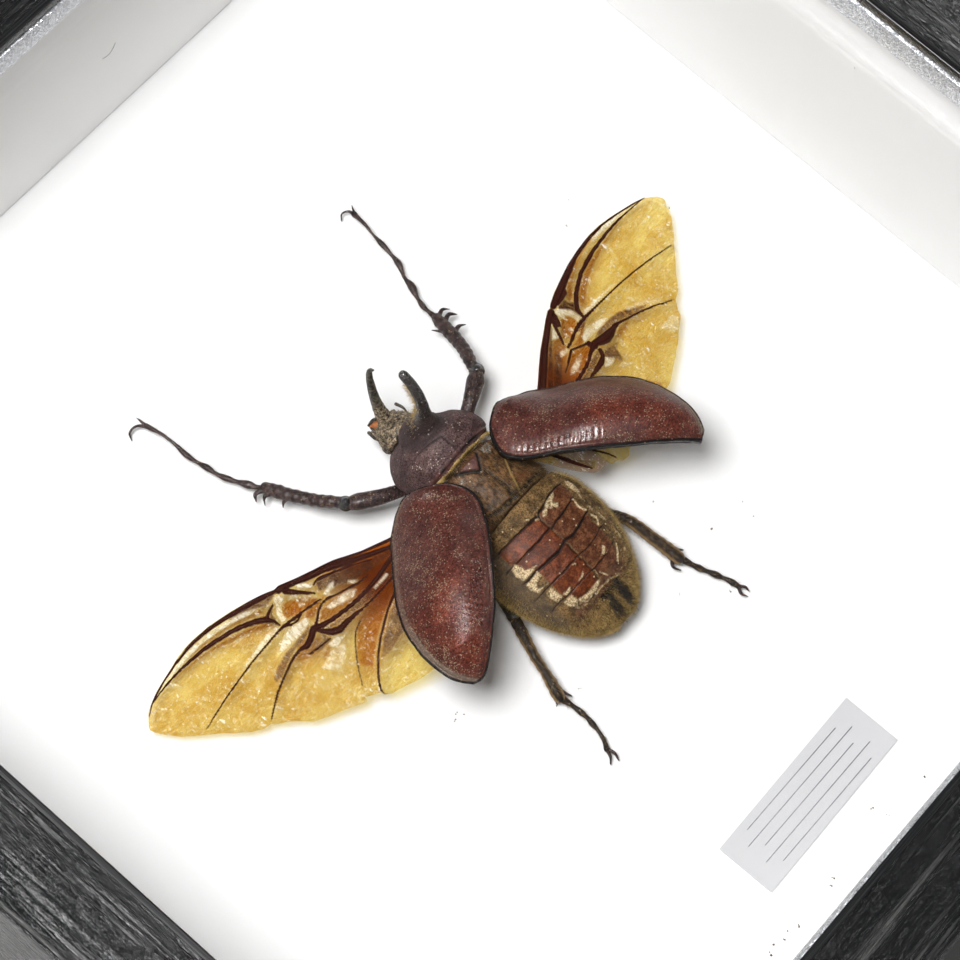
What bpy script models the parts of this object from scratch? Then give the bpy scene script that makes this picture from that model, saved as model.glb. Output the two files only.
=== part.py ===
"""A rhinoceros beetle mounted in flight in a shallow glazed box frame.

The frame lies on its back with its face up: +X is the picture's right, +Y its top and +Z its face.
The origin is the middle of the rear rim. Lengths below are millimetres, and MM turns them into metres.
The beetle's own points are (u, v, h): u to its right, v towards its head, h above the backing board.
"""

import math

import bmesh
import bpy
from mathutils import Matrix, Vector

MM = 0.001
GAP = 0.3

# Frame: outside, the opening inside its lip, and the heights of its layers above the rear rim
OUTER_X, OUTER_Y = 170.0, 169.2
OPEN_X, OPEN_Y = 145.8, 145.0
FACE_Z = 58.0
LIP_THICK = 1.8
LIP_CHAMFER = 0.5
EDGE_ROUND = 0.9
REBATE = 4.4
SLIP_HEIGHT = 4.1
SLIP_PROUD = 0.3
GLASS_THICK = 2.0
BOARD_TOP = 8.0
BOARD_THICK = 3.0
LINER_THICK = 2.0
PANEL_THICK = 2.5
TAB_SIZE = (9.0, 6.0, 0.5)
TAB_CORNER = 1.5
TAB_SPREAD = 0.28
HANGER_LENGTH, HANGER_WIDTH, HANGER_THICK = 44.0, 9.0, 0.6
HANGER_TEETH, TOOTH_WIDTH, TOOTH_DEPTH = 11, 2.4, 1.8
HANGER_CORNER, HANGER_INSET = 1.5, 12.0
NAIL_RADIUS, NAIL_INSET, NAIL_PROUD, NAIL_SIDES = 1.6, 5.0, 0.4, 16
LABEL_SIZE = (27.5, 8.8, 0.25)
LABEL_PLACE = (3.1, -60.5)
LABEL_TURN = 0.9
PAPER_GAP = 0.1

# Beetle: where its middle line stands on the board, and how far its head leans to the left
BEETLE_PLACE = (3.25, 0.0)
BEETLE_TURN = 1.4
BEETLE_GAP = 0.2

# Body rings from the front back: (v, half width, height of the side margin, top, bottom)
PRONOTUM_RINGS = [
    (10.5, 3.8, 6.2, 9.2, 3.6),
    (9.8, 4.7, 6.3, 11.0, 2.9),
    (8.9, 5.6, 6.4, 12.7, 2.5),
    (7.9, 6.3, 6.6, 14.2, 2.3),
    (6.6, 6.9, 7.3, 15.2, 2.2),
    (5.2, 7.1, 8.4, 15.5, 2.4),
    (4.0, 7.05, 8.9, 15.3, 3.0),
    (3.3, 6.75, 9.4, 15.0, 4.2),
    (2.7, 6.0, 10.5, 14.8, 5.8),
    (2.25, 4.8, 12.0, 14.6, 8.0),
    (1.95, 3.4, 13.3, 14.4, 10.5),
]
HEAD_RINGS = [
    (15.2, 0.9, 4.1, 4.8, 3.4),
    (14.7, 1.9, 4.4, 5.9, 3.0),
    (13.9, 2.5, 4.8, 7.1, 2.7),
    (12.8, 3.0, 5.1, 8.0, 2.5),
    (11.8, 3.4, 5.3, 8.4, 2.5),
    (11.2, 3.5, 5.4, 8.3, 2.8),
    (10.9, 3.0, 5.4, 7.9, 3.3),
]
THORAX_RINGS = [
    (1.6, 4.2, 10.4, 13.8, 7.0),
    (1.1, 5.6, 8.6, 14.0, 4.4),
    (0.2, 6.6, 7.4, 14.0, 2.2),
    (-1.6, 7.2, 6.8, 13.9, 1.1),
    (-4.4, 7.4, 6.6, 13.8, 0.9),
    (-6.8, 7.4, 6.7, 13.5, 1.1),
    (-7.2, 7.1, 6.8, 13.1, 1.5),
]
ABDOMEN_RINGS = [
    (-7.5, 8.4, 6.8, 12.9, 3.0),
    (-10.0, 9.4, 6.8, 13.0, 2.7),
    (-12.5, 9.65, 6.6, 12.8, 2.5),
    (-15.2, 9.6, 6.2, 12.3, 2.4),
    (-18.0, 9.1, 5.7, 11.4, 2.4),
    (-20.3, 8.35, 5.2, 10.3, 2.4),
    (-22.5, 7.2, 4.8, 8.9, 2.5),
    (-24.2, 5.95, 4.4, 7.6, 2.6),
    (-25.5, 4.8, 4.2, 6.6, 2.8),
    (-26.4, 3.7, 4.05, 5.8, 3.0),
    (-27.0, 2.6, 3.95, 5.1, 3.2),
    (-27.4, 1.3, 3.9, 4.5, 3.4),
]
TERGITE_STEP = 0.35
TERGITE_SEAM = 0.3
TERGITES = range(1, 7)

# Centre lines as (u, v, h, radius)
HEAD_HORN = [
    (0.0, 13.6, 5.0, 1.25),
    (0.0, 14.8, 6.2, 1.05),
    (0.0, 15.8, 7.9, 0.85),
    (0.0, 16.7, 9.9, 0.7),
    (0.0, 17.4, 12.3, 0.6),
    (0.0, 17.95, 14.6, 0.5),
    (0.0, 18.15, 16.3, 0.42),
    (0.0, 18.05, 17.4, 0.34),
    (0.0, 17.6, 18.2, 0.16),
]
PRONOTUM_HORN = [
    (0.0, 7.9, 11.2, 3.0),
    (0.0, 8.3, 13.2, 2.2),
    (0.0, 8.7, 15.2, 1.45),
    (0.0, 9.0, 17.4, 1.05),
    (0.0, 9.4, 19.6, 0.85),
    (0.0, 10.1, 21.4, 0.77),
    (0.0, 11.1, 22.7, 0.73),
    (0.0, 12.2, 23.6, 0.7),
    (0.0, 13.0, 24.0, 0.6),
    (0.0, 13.4, 24.15, 0.3),
]
ANTENNA = [(-2.6, 12.6, 5.0, 0.3), (-2.8, 13.4, 5.2, 0.2), (-2.8, 14.2, 5.3, 0.3), (-2.7, 15.2, 5.3, 0.26)]
PALP = [(0.0, 14.6, 4.2, 0.4), (-0.6, 15.4, 4.1, 0.36), (-1.4, 15.8, 4.0, 0.3), (-1.9, 15.9, 3.9, 0.16)]
SCUTELLUM = [(-2.7, 1.0), (2.7, 1.0), (0.9, -0.5), (0.0, -1.5), (-0.9, -0.5)]
SCUTELLUM_TOP, SCUTELLUM_BASE = 14.3, 12.4

# Elytron of the right side: its inner and its outer margin, from the shoulder to the tip
ELYTRON_INNER = [
    (8.9, 3.6, 12.6),
    (7.3, 3.1, 13.6),
    (5.4, 2.0, 14.4),
    (4.0, 0.6, 14.4),
    (3.4, -1.6, 14.6),
    (3.9, -4.0, 15.3),
    (5.4, -6.0, 16.5),
    (7.5, -8.0, 17.6),
    (9.7, -10.0, 18.1),
    (12.0, -12.0, 18.0),
    (14.2, -14.0, 17.8),
    (16.5, -16.0, 17.4),
    (19.0, -18.3, 16.4),
    (20.9, -19.7, 15.3),
    (22.1, -20.2, 14.7),
]
ELYTRON_OUTER = [
    (8.9, 3.6, 12.6),
    (10.9, 3.6, 10.8),
    (12.8, 3.0, 9.4),
    (14.4, 2.0, 9.4),
    (16.6, 0.0, 10.4),
    (18.8, -2.0, 11.3),
    (20.8, -4.0, 12.2),
    (22.5, -6.0, 13.1),
    (23.7, -8.0, 13.7),
    (24.4, -10.0, 14.0),
    (24.9, -12.0, 14.3),
    (25.1, -14.0, 14.7),
    (25.0, -16.2, 15.0),
    (24.7, -18.0, 14.8),
    (23.6, -19.6, 14.5),
]
ELYTRON_BULGE = 3.3
ELYTRON_THICK = 0.6
ELYTRON_COLUMNS = 10

# Hind wing, laid out flat as (u, v) from the root outwards: its front and its rear edge
WING_FRONT = [
    (6.2, -1.2),
    (9.5, 0.0),
    (13.5, 1.6),
    (16.5, 3.2),
    (19.1, 4.9),
    (22.3, 6.9),
    (25.0, 8.3),
    (27.6, 9.5),
    (31.5, 10.8),
    (34.4, 11.7),
    (37.3, 12.4),
    (40.0, 12.7),
    (43.0, 12.6),
    (46.0, 12.1),
    (48.5, 11.5),
    (50.7, 10.6),
    (52.1, 9.5),
    (52.4, 8.4),
]
WING_REAR = {
    "left": [(6.9, -3.6), (8.0, -6.8), (9.2, -9.4), (10.8, -10.9), (13.5, -11.9), (16.5, -12.8),
             (20.0, -13.6), (23.1, -14.0), (26.1, -12.8), (28.9, -11.3), (29.3, -10.1), (32.2, -9.7),
             (37.1, -7.0), (41.6, -3.0), (44.6, -0.8), (47.9, 2.9), (50.5, 5.6), (52.0, 7.6)],
    "right": [(6.9, -3.6), (8.0, -7.4), (9.1, -9.3), (10.8, -10.8), (13.4, -11.2), (16.4, -12.4),
              (19.8, -11.6), (23.2, -12.2), (26.2, -11.2), (29.2, -9.1), (31.8, -9.0), (36.0, -6.4),
              (39.8, -3.4), (43.0, -1.1), (47.0, 1.7), (50.4, 5.5), (51.8, 7.3), (52.4, 8.0)],
}
WING_COLUMNS = 6
WING_THICK = 0.3
WING_TIP_HEIGHT, WING_DROP, WING_DROP_LENGTH, WING_ROOT_U = 2.0, 9.5, 16.8, 5.0
WING_SHIFT = {"left": 0.85, "right": -0.85}
WING_SWING = {"left": 0.35, "right": -0.35}

# Veins on the wing as (u, v, radius)
WING_VEINS = [
    [(8.0, -1.0, 0.5), (19.2, 4.4, 0.5), (28.2, 9.1, 0.6), (31.8, 10.2, 0.55), (37.4, 12.0, 0.3),
     (43.0, 12.3, 0.25)],
    [(30.6, 5.4, 0.3), (31.4, 7.6, 0.5), (36.5, 10.1, 0.45), (43.0, 11.2, 0.35), (49.6, 10.7, 0.2)],
    [(25.1, 3.9, 0.25), (28.5, 4.7, 0.35), (38.0, 4.9, 0.28), (47.5, 3.4, 0.18)],
    [(9.0, -1.9, 0.4), (22.4, 0.1, 0.45), (27.3, 1.1, 0.6), (33.6, 0.8, 0.4), (41.3, -2.1, 0.2)],
    [(10.0, -3.0, 0.3), (22.0, -1.4, 0.4), (27.0, -0.6, 0.45)],
    [(11.5, -1.9, 0.2), (20.5, -3.9, 0.25), (28.4, -8.8, 0.2)],
]

# Legs: centre lines as (u, v, h, radius), with teeth and claws as their own short lines
LEGS = {
    "leg_front_left": {
        "femur": [(-6.4, 6.2, 6.0, 0.9), (-9.7, 8.0, 6.6, 1.05), (-12.0, 9.7, 6.4, 1.15),
                  (-13.1, 10.7, 6.1, 0.8)],
        "tibia": [(-12.7, 10.2, 6.2, 0.6), (-13.7, 12.0, 5.7, 0.85), (-15.1, 14.8, 4.4, 0.85),
                  (-16.1, 17.2, 3.6, 0.9), (-16.8, 19.2, 2.9, 0.95), (-17.3, 21.0, 2.4, 0.8)],
        "tarsus": [(-17.2, 20.6, 2.4, 0.45), (-17.9, 22.0, 2.0, 0.36), (-18.3, 23.0, 1.8, 0.55),
                   (-19.0, 24.7, 1.5, 0.32), (-19.5, 26.0, 1.4, 0.46), (-19.9, 27.7, 1.2, 0.28),
                   (-20.0, 29.0, 1.2, 0.42), (-20.3, 30.6, 1.1, 0.26), (-20.5, 32.3, 1.2, 0.4),
                   (-20.4, 34.4, 1.4, 0.22), (-20.5, 36.3, 1.5, 0.23), (-20.9, 39.2, 1.0, 0.36)],
        "spikes": [[(-17.6, 20.9, 2.4, 0.4), (-18.9, 21.4, 2.2, 0.25), (-19.5, 20.7, 1.9, 0.07)],
                   [(-17.2, 19.6, 2.7, 0.4), (-18.4, 20.2, 2.4, 0.26), (-19.2, 19.4, 2.1, 0.07)],
                   [(-16.6, 17.5, 3.3, 0.4), (-17.4, 17.7, 3.0, 0.24), (-18.0, 17.3, 2.7, 0.07)],
                   [(-20.9, 39.0, 1.0, 0.24), (-21.9, 40.0, 1.3, 0.18), (-23.1, 40.1, 0.9, 0.14),
                    (-23.6, 39.3, 0.4, 0.06)],
                   [(-20.9, 39.0, 1.0, 0.22), (-20.9, 40.1, 1.2, 0.16), (-20.8, 41.0, 0.6, 0.07)]],
    },
    "leg_front_right": {
        "femur": [(6.4, 6.2, 6.0, 0.9), (9.6, 7.7, 6.6, 1.05), (12.0, 8.9, 6.4, 1.2),
                  (13.2, 9.7, 6.1, 0.8)],
        "tibia": [(12.7, 9.4, 6.2, 0.6), (13.8, 11.2, 5.7, 0.85), (15.3, 13.9, 4.4, 0.9),
                  (16.0, 16.0, 3.6, 0.95), (16.5, 17.8, 2.9, 0.95), (17.0, 19.5, 2.4, 0.8)],
        "tarsus": [(17.0, 19.2, 2.4, 0.45), (17.1, 20.5, 2.1, 0.42), (17.15, 21.1, 2.0, 0.28),
                   (17.3, 22.2, 1.8, 0.42), (17.8, 23.5, 1.5, 0.3), (18.7, 25.4, 1.4, 0.55),
                   (19.1, 26.9, 1.2, 0.26), (20.3, 29.3, 1.2, 0.44), (20.6, 30.6, 1.1, 0.24),
                   (20.9, 32.6, 1.2, 0.38), (21.1, 34.4, 1.4, 0.2), (21.5, 36.2, 1.5, 0.22),
                   (21.9, 38.5, 1.0, 0.42)],
        "spikes": [[(17.2, 19.4, 2.4, 0.4), (18.6, 19.8, 2.2, 0.25), (19.4, 19.2, 1.9, 0.07)],
                   [(17.0, 18.2, 2.7, 0.4), (18.6, 18.6, 2.4, 0.26), (19.4, 17.9, 2.1, 0.07)],
                   [(16.6, 16.2, 3.3, 0.4), (18.0, 16.3, 3.0, 0.24), (18.8, 15.9, 2.7, 0.07)],
                   [(16.0, 17.2, 2.9, 0.35), (15.1, 18.8, 2.6, 0.07)],
                   [(21.9, 38.3, 1.0, 0.24), (21.6, 39.3, 1.3, 0.18), (20.8, 39.9, 0.9, 0.14),
                    (20.2, 39.4, 0.4, 0.06)],
                   [(21.9, 38.3, 1.0, 0.22), (22.2, 39.0, 1.2, 0.16), (22.9, 39.8, 0.6, 0.07)]],
    },
    "leg_middle_left": {
        "femur": [(-5.3, -1.6, 1.8, 0.95), (-8.4, -2.2, 3.8, 1.1), (-11.6, -2.8, 5.6, 0.9)],
        "tibia": [(-11.3, -2.6, 5.6, 0.75), (-14.0, -5.4, 3.8, 0.85), (-16.2, -8.2, 2.2, 1.0)],
        "tarsus": [(-16.0, -8.0, 2.2, 0.45), (-16.9, -9.8, 1.4, 0.5), (-17.1, -11.6, 1.0, 0.42),
                   (-16.8, -13.4, 0.9, 0.3)],
        "spikes": [[(-16.0, -8.0, 2.0, 0.4), (-17.5, -8.9, 1.4, 0.1)]],
    },
    "leg_middle_right": {
        "femur": [(5.3, -1.6, 1.8, 0.95), (8.4, -2.2, 3.8, 1.1), (11.6, -2.8, 5.6, 0.9)],
        "tibia": [(11.3, -2.6, 5.6, 0.75), (15.0, -4.8, 3.8, 0.85), (18.6, -6.6, 2.2, 1.0)],
        "tarsus": [(18.4, -6.5, 2.2, 0.45), (20.4, -7.6, 1.4, 0.5), (22.0, -9.0, 1.0, 0.42),
                   (23.2, -10.4, 0.9, 0.3)],
        "spikes": [[(18.4, -6.5, 2.0, 0.4), (19.4, -8.0, 1.4, 0.1)]],
    },
    "leg_hind_left": {
        "femur": [(-5.2, -6.2, 1.6, 0.9), (-7.6, -11.6, 1.9, 1.0), (-9.6, -15.9, 3.2, 0.85)],
        "tibia": [(-9.4, -15.4, 3.2, 0.7), (-10.6, -17.9, 3.5, 0.8), (-11.3, -19.7, 3.2, 0.72),
                  (-12.0, -21.6, 2.9, 0.68), (-12.6, -23.8, 2.5, 0.68), (-13.3, -25.9, 2.0, 0.85),
                  (-13.7, -27.2, 1.7, 0.85)],
        "tarsus": [(-13.6, -26.9, 1.6, 0.5), (-13.4, -28.5, 1.2, 0.48), (-13.3, -29.2, 1.1, 0.32),
                   (-13.2, -30.8, 0.9, 0.45), (-13.2, -31.5, 0.8, 0.3), (-13.4, -32.9, 0.8, 0.42),
                   (-13.6, -33.8, 0.8, 0.24), (-14.1, -35.3, 0.8, 0.3), (-14.8, -36.4, 0.8, 0.42)],
        "spikes": [[(-13.5, -26.6, 1.6, 0.4), (-14.4, -27.4, 1.0, 0.1)],
                   [(-13.0, -26.6, 1.6, 0.35), (-12.3, -28.3, 0.9, 0.1)],
                   [(-14.8, -36.2, 0.8, 0.24), (-15.4, -37.4, 0.9, 0.18), (-16.0, -38.0, 0.5, 0.08)],
                   [(-14.8, -36.2, 0.8, 0.24), (-14.6, -37.6, 0.9, 0.18), (-14.9, -38.5, 0.5, 0.08)]],
    },
    "leg_hind_right": {
        "femur": [(5.2, -6.2, 1.6, 0.9), (7.8, -11.6, 1.9, 1.0), (10.4, -16.3, 3.2, 0.85)],
        "tibia": [(10.2, -15.8, 3.2, 0.7), (11.0, -17.6, 3.5, 0.75), (11.6, -19.3, 3.3, 0.8),
                  (11.8, -20.9, 2.9, 0.85), (12.0, -23.1, 2.5, 0.9), (12.3, -25.3, 2.0, 0.95),
                  (12.4, -27.0, 1.7, 1.0)],
        "tarsus": [(12.5, -26.6, 1.6, 0.5), (12.9, -28.2, 1.2, 0.5), (13.1, -28.9, 1.1, 0.34),
                   (13.5, -30.2, 0.9, 0.48), (13.8, -31.0, 0.8, 0.32), (14.3, -32.5, 0.8, 0.46),
                   (14.5, -33.1, 0.8, 0.3), (14.9, -34.8, 0.8, 0.44), (15.0, -35.8, 0.8, 0.34)],
        "spikes": [[(11.8, -26.6, 1.6, 0.4), (11.1, -27.2, 1.3, 0.2), (11.5, -28.3, 0.9, 0.1)],
                   [(12.8, -25.6, 1.7, 0.4), (13.8, -26.8, 1.4, 0.1)],
                   [(15.0, -35.6, 0.8, 0.24), (14.4, -36.5, 0.9, 0.18), (14.8, -37.5, 0.5, 0.08)],
                   [(15.0, -35.6, 0.8, 0.24), (15.5, -36.4, 0.8, 0.18), (15.5, -37.2, 0.5, 0.08)]],
    },
}
LEG_SIDES = 6

# Colours as linear RGB, with roughness, metallic and transmission
FINISHES = {
    "black_moulding": ((0.012, 0.012, 0.013), 0.32, 0.0, 0.0),
    "silver_slip": ((0.55, 0.55, 0.56), 0.35, 0.9, 0.0),
    "glass": ((0.98, 0.99, 0.98), 0.02, 0.0, 1.0),
    "white_liner": ((0.78, 0.77, 0.75), 0.6, 0.0, 0.0),
    "white_board": ((0.9, 0.9, 0.9), 0.6, 0.0, 0.0),
    "hardboard": ((0.2, 0.11, 0.055), 0.7, 0.0, 0.0),
    "bent_metal": ((0.45, 0.45, 0.46), 0.35, 1.0, 0.0),
    "label_paper": ((0.8, 0.8, 0.82), 0.7, 0.0, 0.0),
    "pronotum_shell": ((0.045, 0.022, 0.022), 0.3, 0.0, 0.0),
    "head_shell": ((0.035, 0.026, 0.02), 0.45, 0.0, 0.0),
    "thorax_hairy": ((0.085, 0.055, 0.03), 0.7, 0.0, 0.0),
    "abdomen_shell": ((0.14, 0.05, 0.03), 0.5, 0.0, 0.0),
    "elytra_shell": ((0.105, 0.028, 0.018), 0.32, 0.0, 0.0),
    "wing_membrane": ((0.75, 0.4, 0.07), 0.25, 0.0, 0.6),
    "leg_shell": ((0.02, 0.015, 0.014), 0.35, 0.0, 0.0),
}


def clear_scene():
    for thing in list(bpy.data.objects):
        bpy.data.objects.remove(thing)


def finish(slot):
    """The Principled material of a slot, made once."""
    found = bpy.data.materials.get(slot)
    if found:
        return found
    colour, roughness, metallic, transmission = FINISHES[slot]
    made = bpy.data.materials.new(slot)
    made.use_nodes = True
    shader = made.node_tree.nodes["Principled BSDF"]
    shader.inputs["Base Color"].default_value = (*colour, 1.0)
    shader.inputs["Roughness"].default_value = roughness
    shader.inputs["Metallic"].default_value = metallic
    shader.inputs["Transmission Weight"].default_value = transmission
    return made


def solid(name, faces, slot, parent=None, sharp=35.0):
    """An object from faces given as loops of points in millimetres, with points that coincide made one."""
    numbers, points, loops = {}, [], []
    for face in faces:
        loop = []
        for point in face:
            key = tuple(round(c, 4) for c in point)
            if key not in numbers:
                numbers[key] = len(points)
                points.append(Vector(key) * MM)
            if not loop or (loop[-1] != numbers[key] and loop[0] != numbers[key]):
                loop.append(numbers[key])
        if len(loop) > 2:
            loops.append(loop)
    mesh = bpy.data.meshes.new(name)
    mesh.from_pydata(points, [], loops)
    shape = bmesh.new()
    shape.from_mesh(mesh)
    bmesh.ops.recalc_face_normals(shape, faces=shape.faces)
    shape.to_mesh(mesh)
    shape.free()
    mesh.shade_smooth()
    mesh.set_sharp_from_angle(angle=math.radians(sharp))
    made = bpy.data.objects.new(name, mesh)
    made.data.materials.append(finish(slot))
    made.parent = parent
    bpy.context.scene.collection.objects.link(made)
    return made


def fuse(body, shapes):
    """Joins shapes that overlap the body to it, as one closed surface."""
    for shape in shapes:
        join = body.modifiers.new("join", "BOOLEAN")
        join.operation = "UNION"
        join.solver = "EXACT"
        join.object = shape
    bpy.context.view_layer.update()
    joined = bpy.data.meshes.new_from_object(body.evaluated_get(bpy.context.evaluated_depsgraph_get()))
    body.modifiers.clear()
    body.data = joined
    for shape in shapes:
        bpy.data.objects.remove(shape)
    return body


def prism(outline, low, high):
    """Faces of an upright prism over a counter-clockwise outline of (x, y)."""
    bottom = [(x, y, low) for x, y in outline]
    top = [(x, y, high) for x, y in outline]
    turned = list(range(1, len(outline))) + [0]
    sides = [(bottom[i], bottom[j], top[j], top[i]) for i, j in enumerate(turned)]
    return [bottom[::-1], top] + sides


def box(centre, size, low):
    x, y = centre
    a, b = size[0] / 2, size[1] / 2
    return prism([(x - a, y - b), (x + a, y - b), (x + a, y + b), (x - a, y + b)], low, low + size[2])


def mitred_bar(name, side, profile, slot, sharp=35.0):
    """One side of a mitred frame. Its profile is (distance outwards from the opening, z), anticlockwise."""
    half, other, turn = {
        "right": (OPEN_X / 2, OPEN_Y / 2, 0),
        "top": (OPEN_Y / 2, OPEN_X / 2, 90),
        "left": (OPEN_X / 2, OPEN_Y / 2, 180),
        "bottom": (OPEN_Y / 2, OPEN_X / 2, 270),
    }[side]
    saw = GAP / 2 * math.sqrt(2)
    ends = []
    for direction in (-1, 1):
        ends.append([(half + d, direction * (other + d - saw), z) for d, z in profile])
    turned = list(range(1, len(profile))) + [0]
    faces = [ends[0], ends[1][::-1]]
    faces += [(ends[0][j], ends[0][i], ends[1][i], ends[1][j]) for i, j in enumerate(turned)]
    spin = Matrix.Rotation(math.radians(turn), 3, "Z")
    return solid(name, [[tuple(spin @ Vector(p)) for p in face] for face in faces], slot, sharp=sharp)


def make_frame():
    """Four moulding rails, the silver slips under their lip, the glass, the wall liners and the back."""
    outer = (OUTER_X - OPEN_X) / 2
    lip_under = FACE_Z - LIP_THICK
    corner = []
    for angle in (0, 30, 60, 90):
        c, s = math.cos(math.radians(angle)), math.sin(math.radians(angle))
        corner.append((outer - EDGE_ROUND * (1 - c), FACE_Z - EDGE_ROUND * (1 - s)))
    rail = [(REBATE, 0.0), (outer, 0.0)] + corner
    rail += [(LIP_CHAMFER, FACE_Z), (0.0, FACE_Z - LIP_CHAMFER), (0.0, lip_under), (REBATE, lip_under)]
    slip_top = lip_under - GAP
    slip_low = slip_top - SLIP_HEIGHT
    inside = REBATE - GAP
    slip = [(-SLIP_PROUD, slip_low), (inside, slip_low), (inside, slip_top), (-SLIP_PROUD, slip_top)]
    glass_top = slip_low - GAP
    liner_top = glass_top - GLASS_THICK - GAP
    liner_low = BOARD_TOP + GAP
    liner = [(inside - LINER_THICK, liner_low), (inside, liner_low)]
    liner += [(inside, liner_top), (inside - LINER_THICK, liner_top)]
    for side in ("left", "right", "top", "bottom"):
        mitred_bar("rail_" + side, side, rail, "black_moulding")
        mitred_bar("silver_slip_" + side, side, slip, "silver_slip")
        mitred_bar("wall_liner_" + side, side, liner, "white_liner")
    pane = (OPEN_X + 2 * inside, OPEN_Y + 2 * inside)
    solid("glass_pane", box((0, 0), (*pane, GLASS_THICK), glass_top - GLASS_THICK), "glass")
    board_low = BOARD_TOP - BOARD_THICK
    solid("backing_board", box((0, 0), (*pane, BOARD_THICK), board_low), "white_board")
    panel_low = board_low - GAP - PANEL_THICK
    solid("back_panel", box((0, 0), (*pane, PANEL_THICK), panel_low), "hardboard")
    make_tabs(pane, panel_low - GAP)
    make_hanger(pane, panel_low - GAP)


def make_tabs(pane, top):
    """Two flat metal tabs on each side, which hold the back panel in."""
    length, width, thick = TAB_SIZE
    for side, turn in (("right", 0), ("top", 90), ("left", 180), ("bottom", 270)):
        along, across = (pane[1], pane[0]) if side in ("right", "left") else (pane[0], pane[1])
        for number, place in enumerate((-1, 1), 1):
            edge, tip = across / 2, across / 2 - length
            middle, half = place * along * TAB_SPREAD, width / 2
            outline = [(tip, middle - half / 2), (tip + TAB_CORNER, middle - half), (edge, middle - half)]
            outline += [(edge, middle + half), (tip + TAB_CORNER, middle + half), (tip, middle + half / 2)]
            spin = Matrix.Rotation(math.radians(turn), 2)
            turned = [tuple(spin @ Vector(p)) for p in outline]
            solid(f"back_tab_{side}_{number}", prism(turned, top - thick, top), "bent_metal")


def make_hanger(pane, top):
    """A saw-tooth hanger at the middle of the back panel's top edge, with its two nail heads."""
    middle = pane[1] / 2 - HANGER_INSET
    half = HANGER_LENGTH / 2
    low, high = middle - HANGER_WIDTH / 2, middle + HANGER_WIDTH / 2
    first = -HANGER_TEETH * TOOTH_WIDTH / 2
    outline = [(-half, low + HANGER_CORNER), (-half + HANGER_CORNER, low), (first, low)]
    for number in range(HANGER_TEETH):
        start = first + number * TOOTH_WIDTH
        outline += [(start + TOOTH_WIDTH / 2, low + TOOTH_DEPTH), (start + TOOTH_WIDTH, low)]
    outline += [(half - HANGER_CORNER, low), (half, low + HANGER_CORNER), (half, high), (-half, high)]
    plate = solid("hanger", prism(outline, top - HANGER_THICK, top), "bent_metal")
    nails = []
    for x in (NAIL_INSET - half, half - NAIL_INSET):
        turns = [2 * math.pi * n / NAIL_SIDES for n in range(NAIL_SIDES)]
        rim = [(x + NAIL_RADIUS * math.cos(a), middle + NAIL_RADIUS * math.sin(a)) for a in turns]
        head = prism(rim, top - HANGER_THICK - NAIL_PROUD, top - HANGER_THICK / 2)
        nails.append(solid("nail", head, "bent_metal"))
    fuse(plate, nails)


def make_label():
    label = solid("label", box((0, 0), LABEL_SIZE, 0.0), "label_paper")
    label.location = Vector((*LABEL_PLACE, BOARD_TOP + PAPER_GAP)) * MM
    label.rotation_euler.z = math.radians(LABEL_TURN)


def ring(station, sides, keel, arch=1.0):
    """A cross-section: an arched back over the side margins, and a belly that draws in below them."""
    v, wide, margin, top, bottom = station
    points = []
    for n in range(sides):
        angle = 2 * math.pi * n / sides
        c, s = math.cos(angle), math.sin(angle)
        if s >= 0:
            points.append((wide * c, v, margin + (top - margin) * s**arch))
        else:
            power = 2 / keel
            across = math.copysign(abs(c) ** power, c)
            points.append((wide * across, v, margin - (margin - bottom) * abs(s) ** power))
    return points


def skin(rings):
    """Faces that join rings in order, with flat ends."""
    faces = [rings[0], rings[-1][::-1]]
    for first, second in zip(rings, rings[1:]):
        count = len(first)
        for n in range(count):
            m = (n + 1) % count
            faces.append((first[m], first[n], second[n], second[m]))
    return faces


def limb(name, line, slot, seat, sides=LEG_SIDES, flat=1.0):
    """A tapering tube along (u, v, h, radius), thinner in height where flat is under 1."""
    centres = [Vector(p[:3]) for p in line]
    rings = []
    for n, (centre, point) in enumerate(zip(centres, line)):
        ahead = centres[min(n + 1, len(line) - 1)] - centres[max(n - 1, 0)]
        across = ahead.cross(Vector((0, 0, 1)))
        if across.length < 0.2 * ahead.length:
            across = Vector((1, 0, 0))
        across.normalize()
        rise = across.cross(ahead).normalized()
        radius = point[3]
        turn = [2 * math.pi * k / sides for k in range(sides)]
        rings.append(
            [tuple(centre + radius * (math.cos(a) * across + flat * math.sin(a) * rise)) for a in turn]
        )
    return solid(name, skin(rings), slot, seat)


def make_pronotum(seat):
    rings = [ring(station, 24, 1.0, 1.3) for station in PRONOTUM_RINGS]
    shield = solid("pronotum", skin(rings), "pronotum_shell", seat, sharp=50)
    horn = limb("horn", PRONOTUM_HORN, "pronotum_shell", seat, sides=10)
    fuse(shield, [horn])


def make_head(seat):
    rings = [ring(station, 18, 1.6) for station in HEAD_RINGS]
    head = solid("head", skin(rings), "head_shell", seat, sharp=50)
    shapes = [
        limb("horn", HEAD_HORN, "head_shell", seat, sides=10),
        limb("antenna", ANTENNA, "head_shell", seat),
        limb("palp", PALP, "head_shell", seat),
    ]
    fuse(head, shapes)


def make_thorax(seat):
    rings = [ring(station, 22, 1.5) for station in THORAX_RINGS]
    thorax = solid("thorax", skin(rings), "thorax_hairy", seat, sharp=50)
    plate = prism(SCUTELLUM[::-1], SCUTELLUM_BASE, SCUTELLUM_TOP)
    scutellum = solid("scutellum", plate, "thorax_hairy", seat)
    fuse(thorax, [scutellum])


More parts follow.
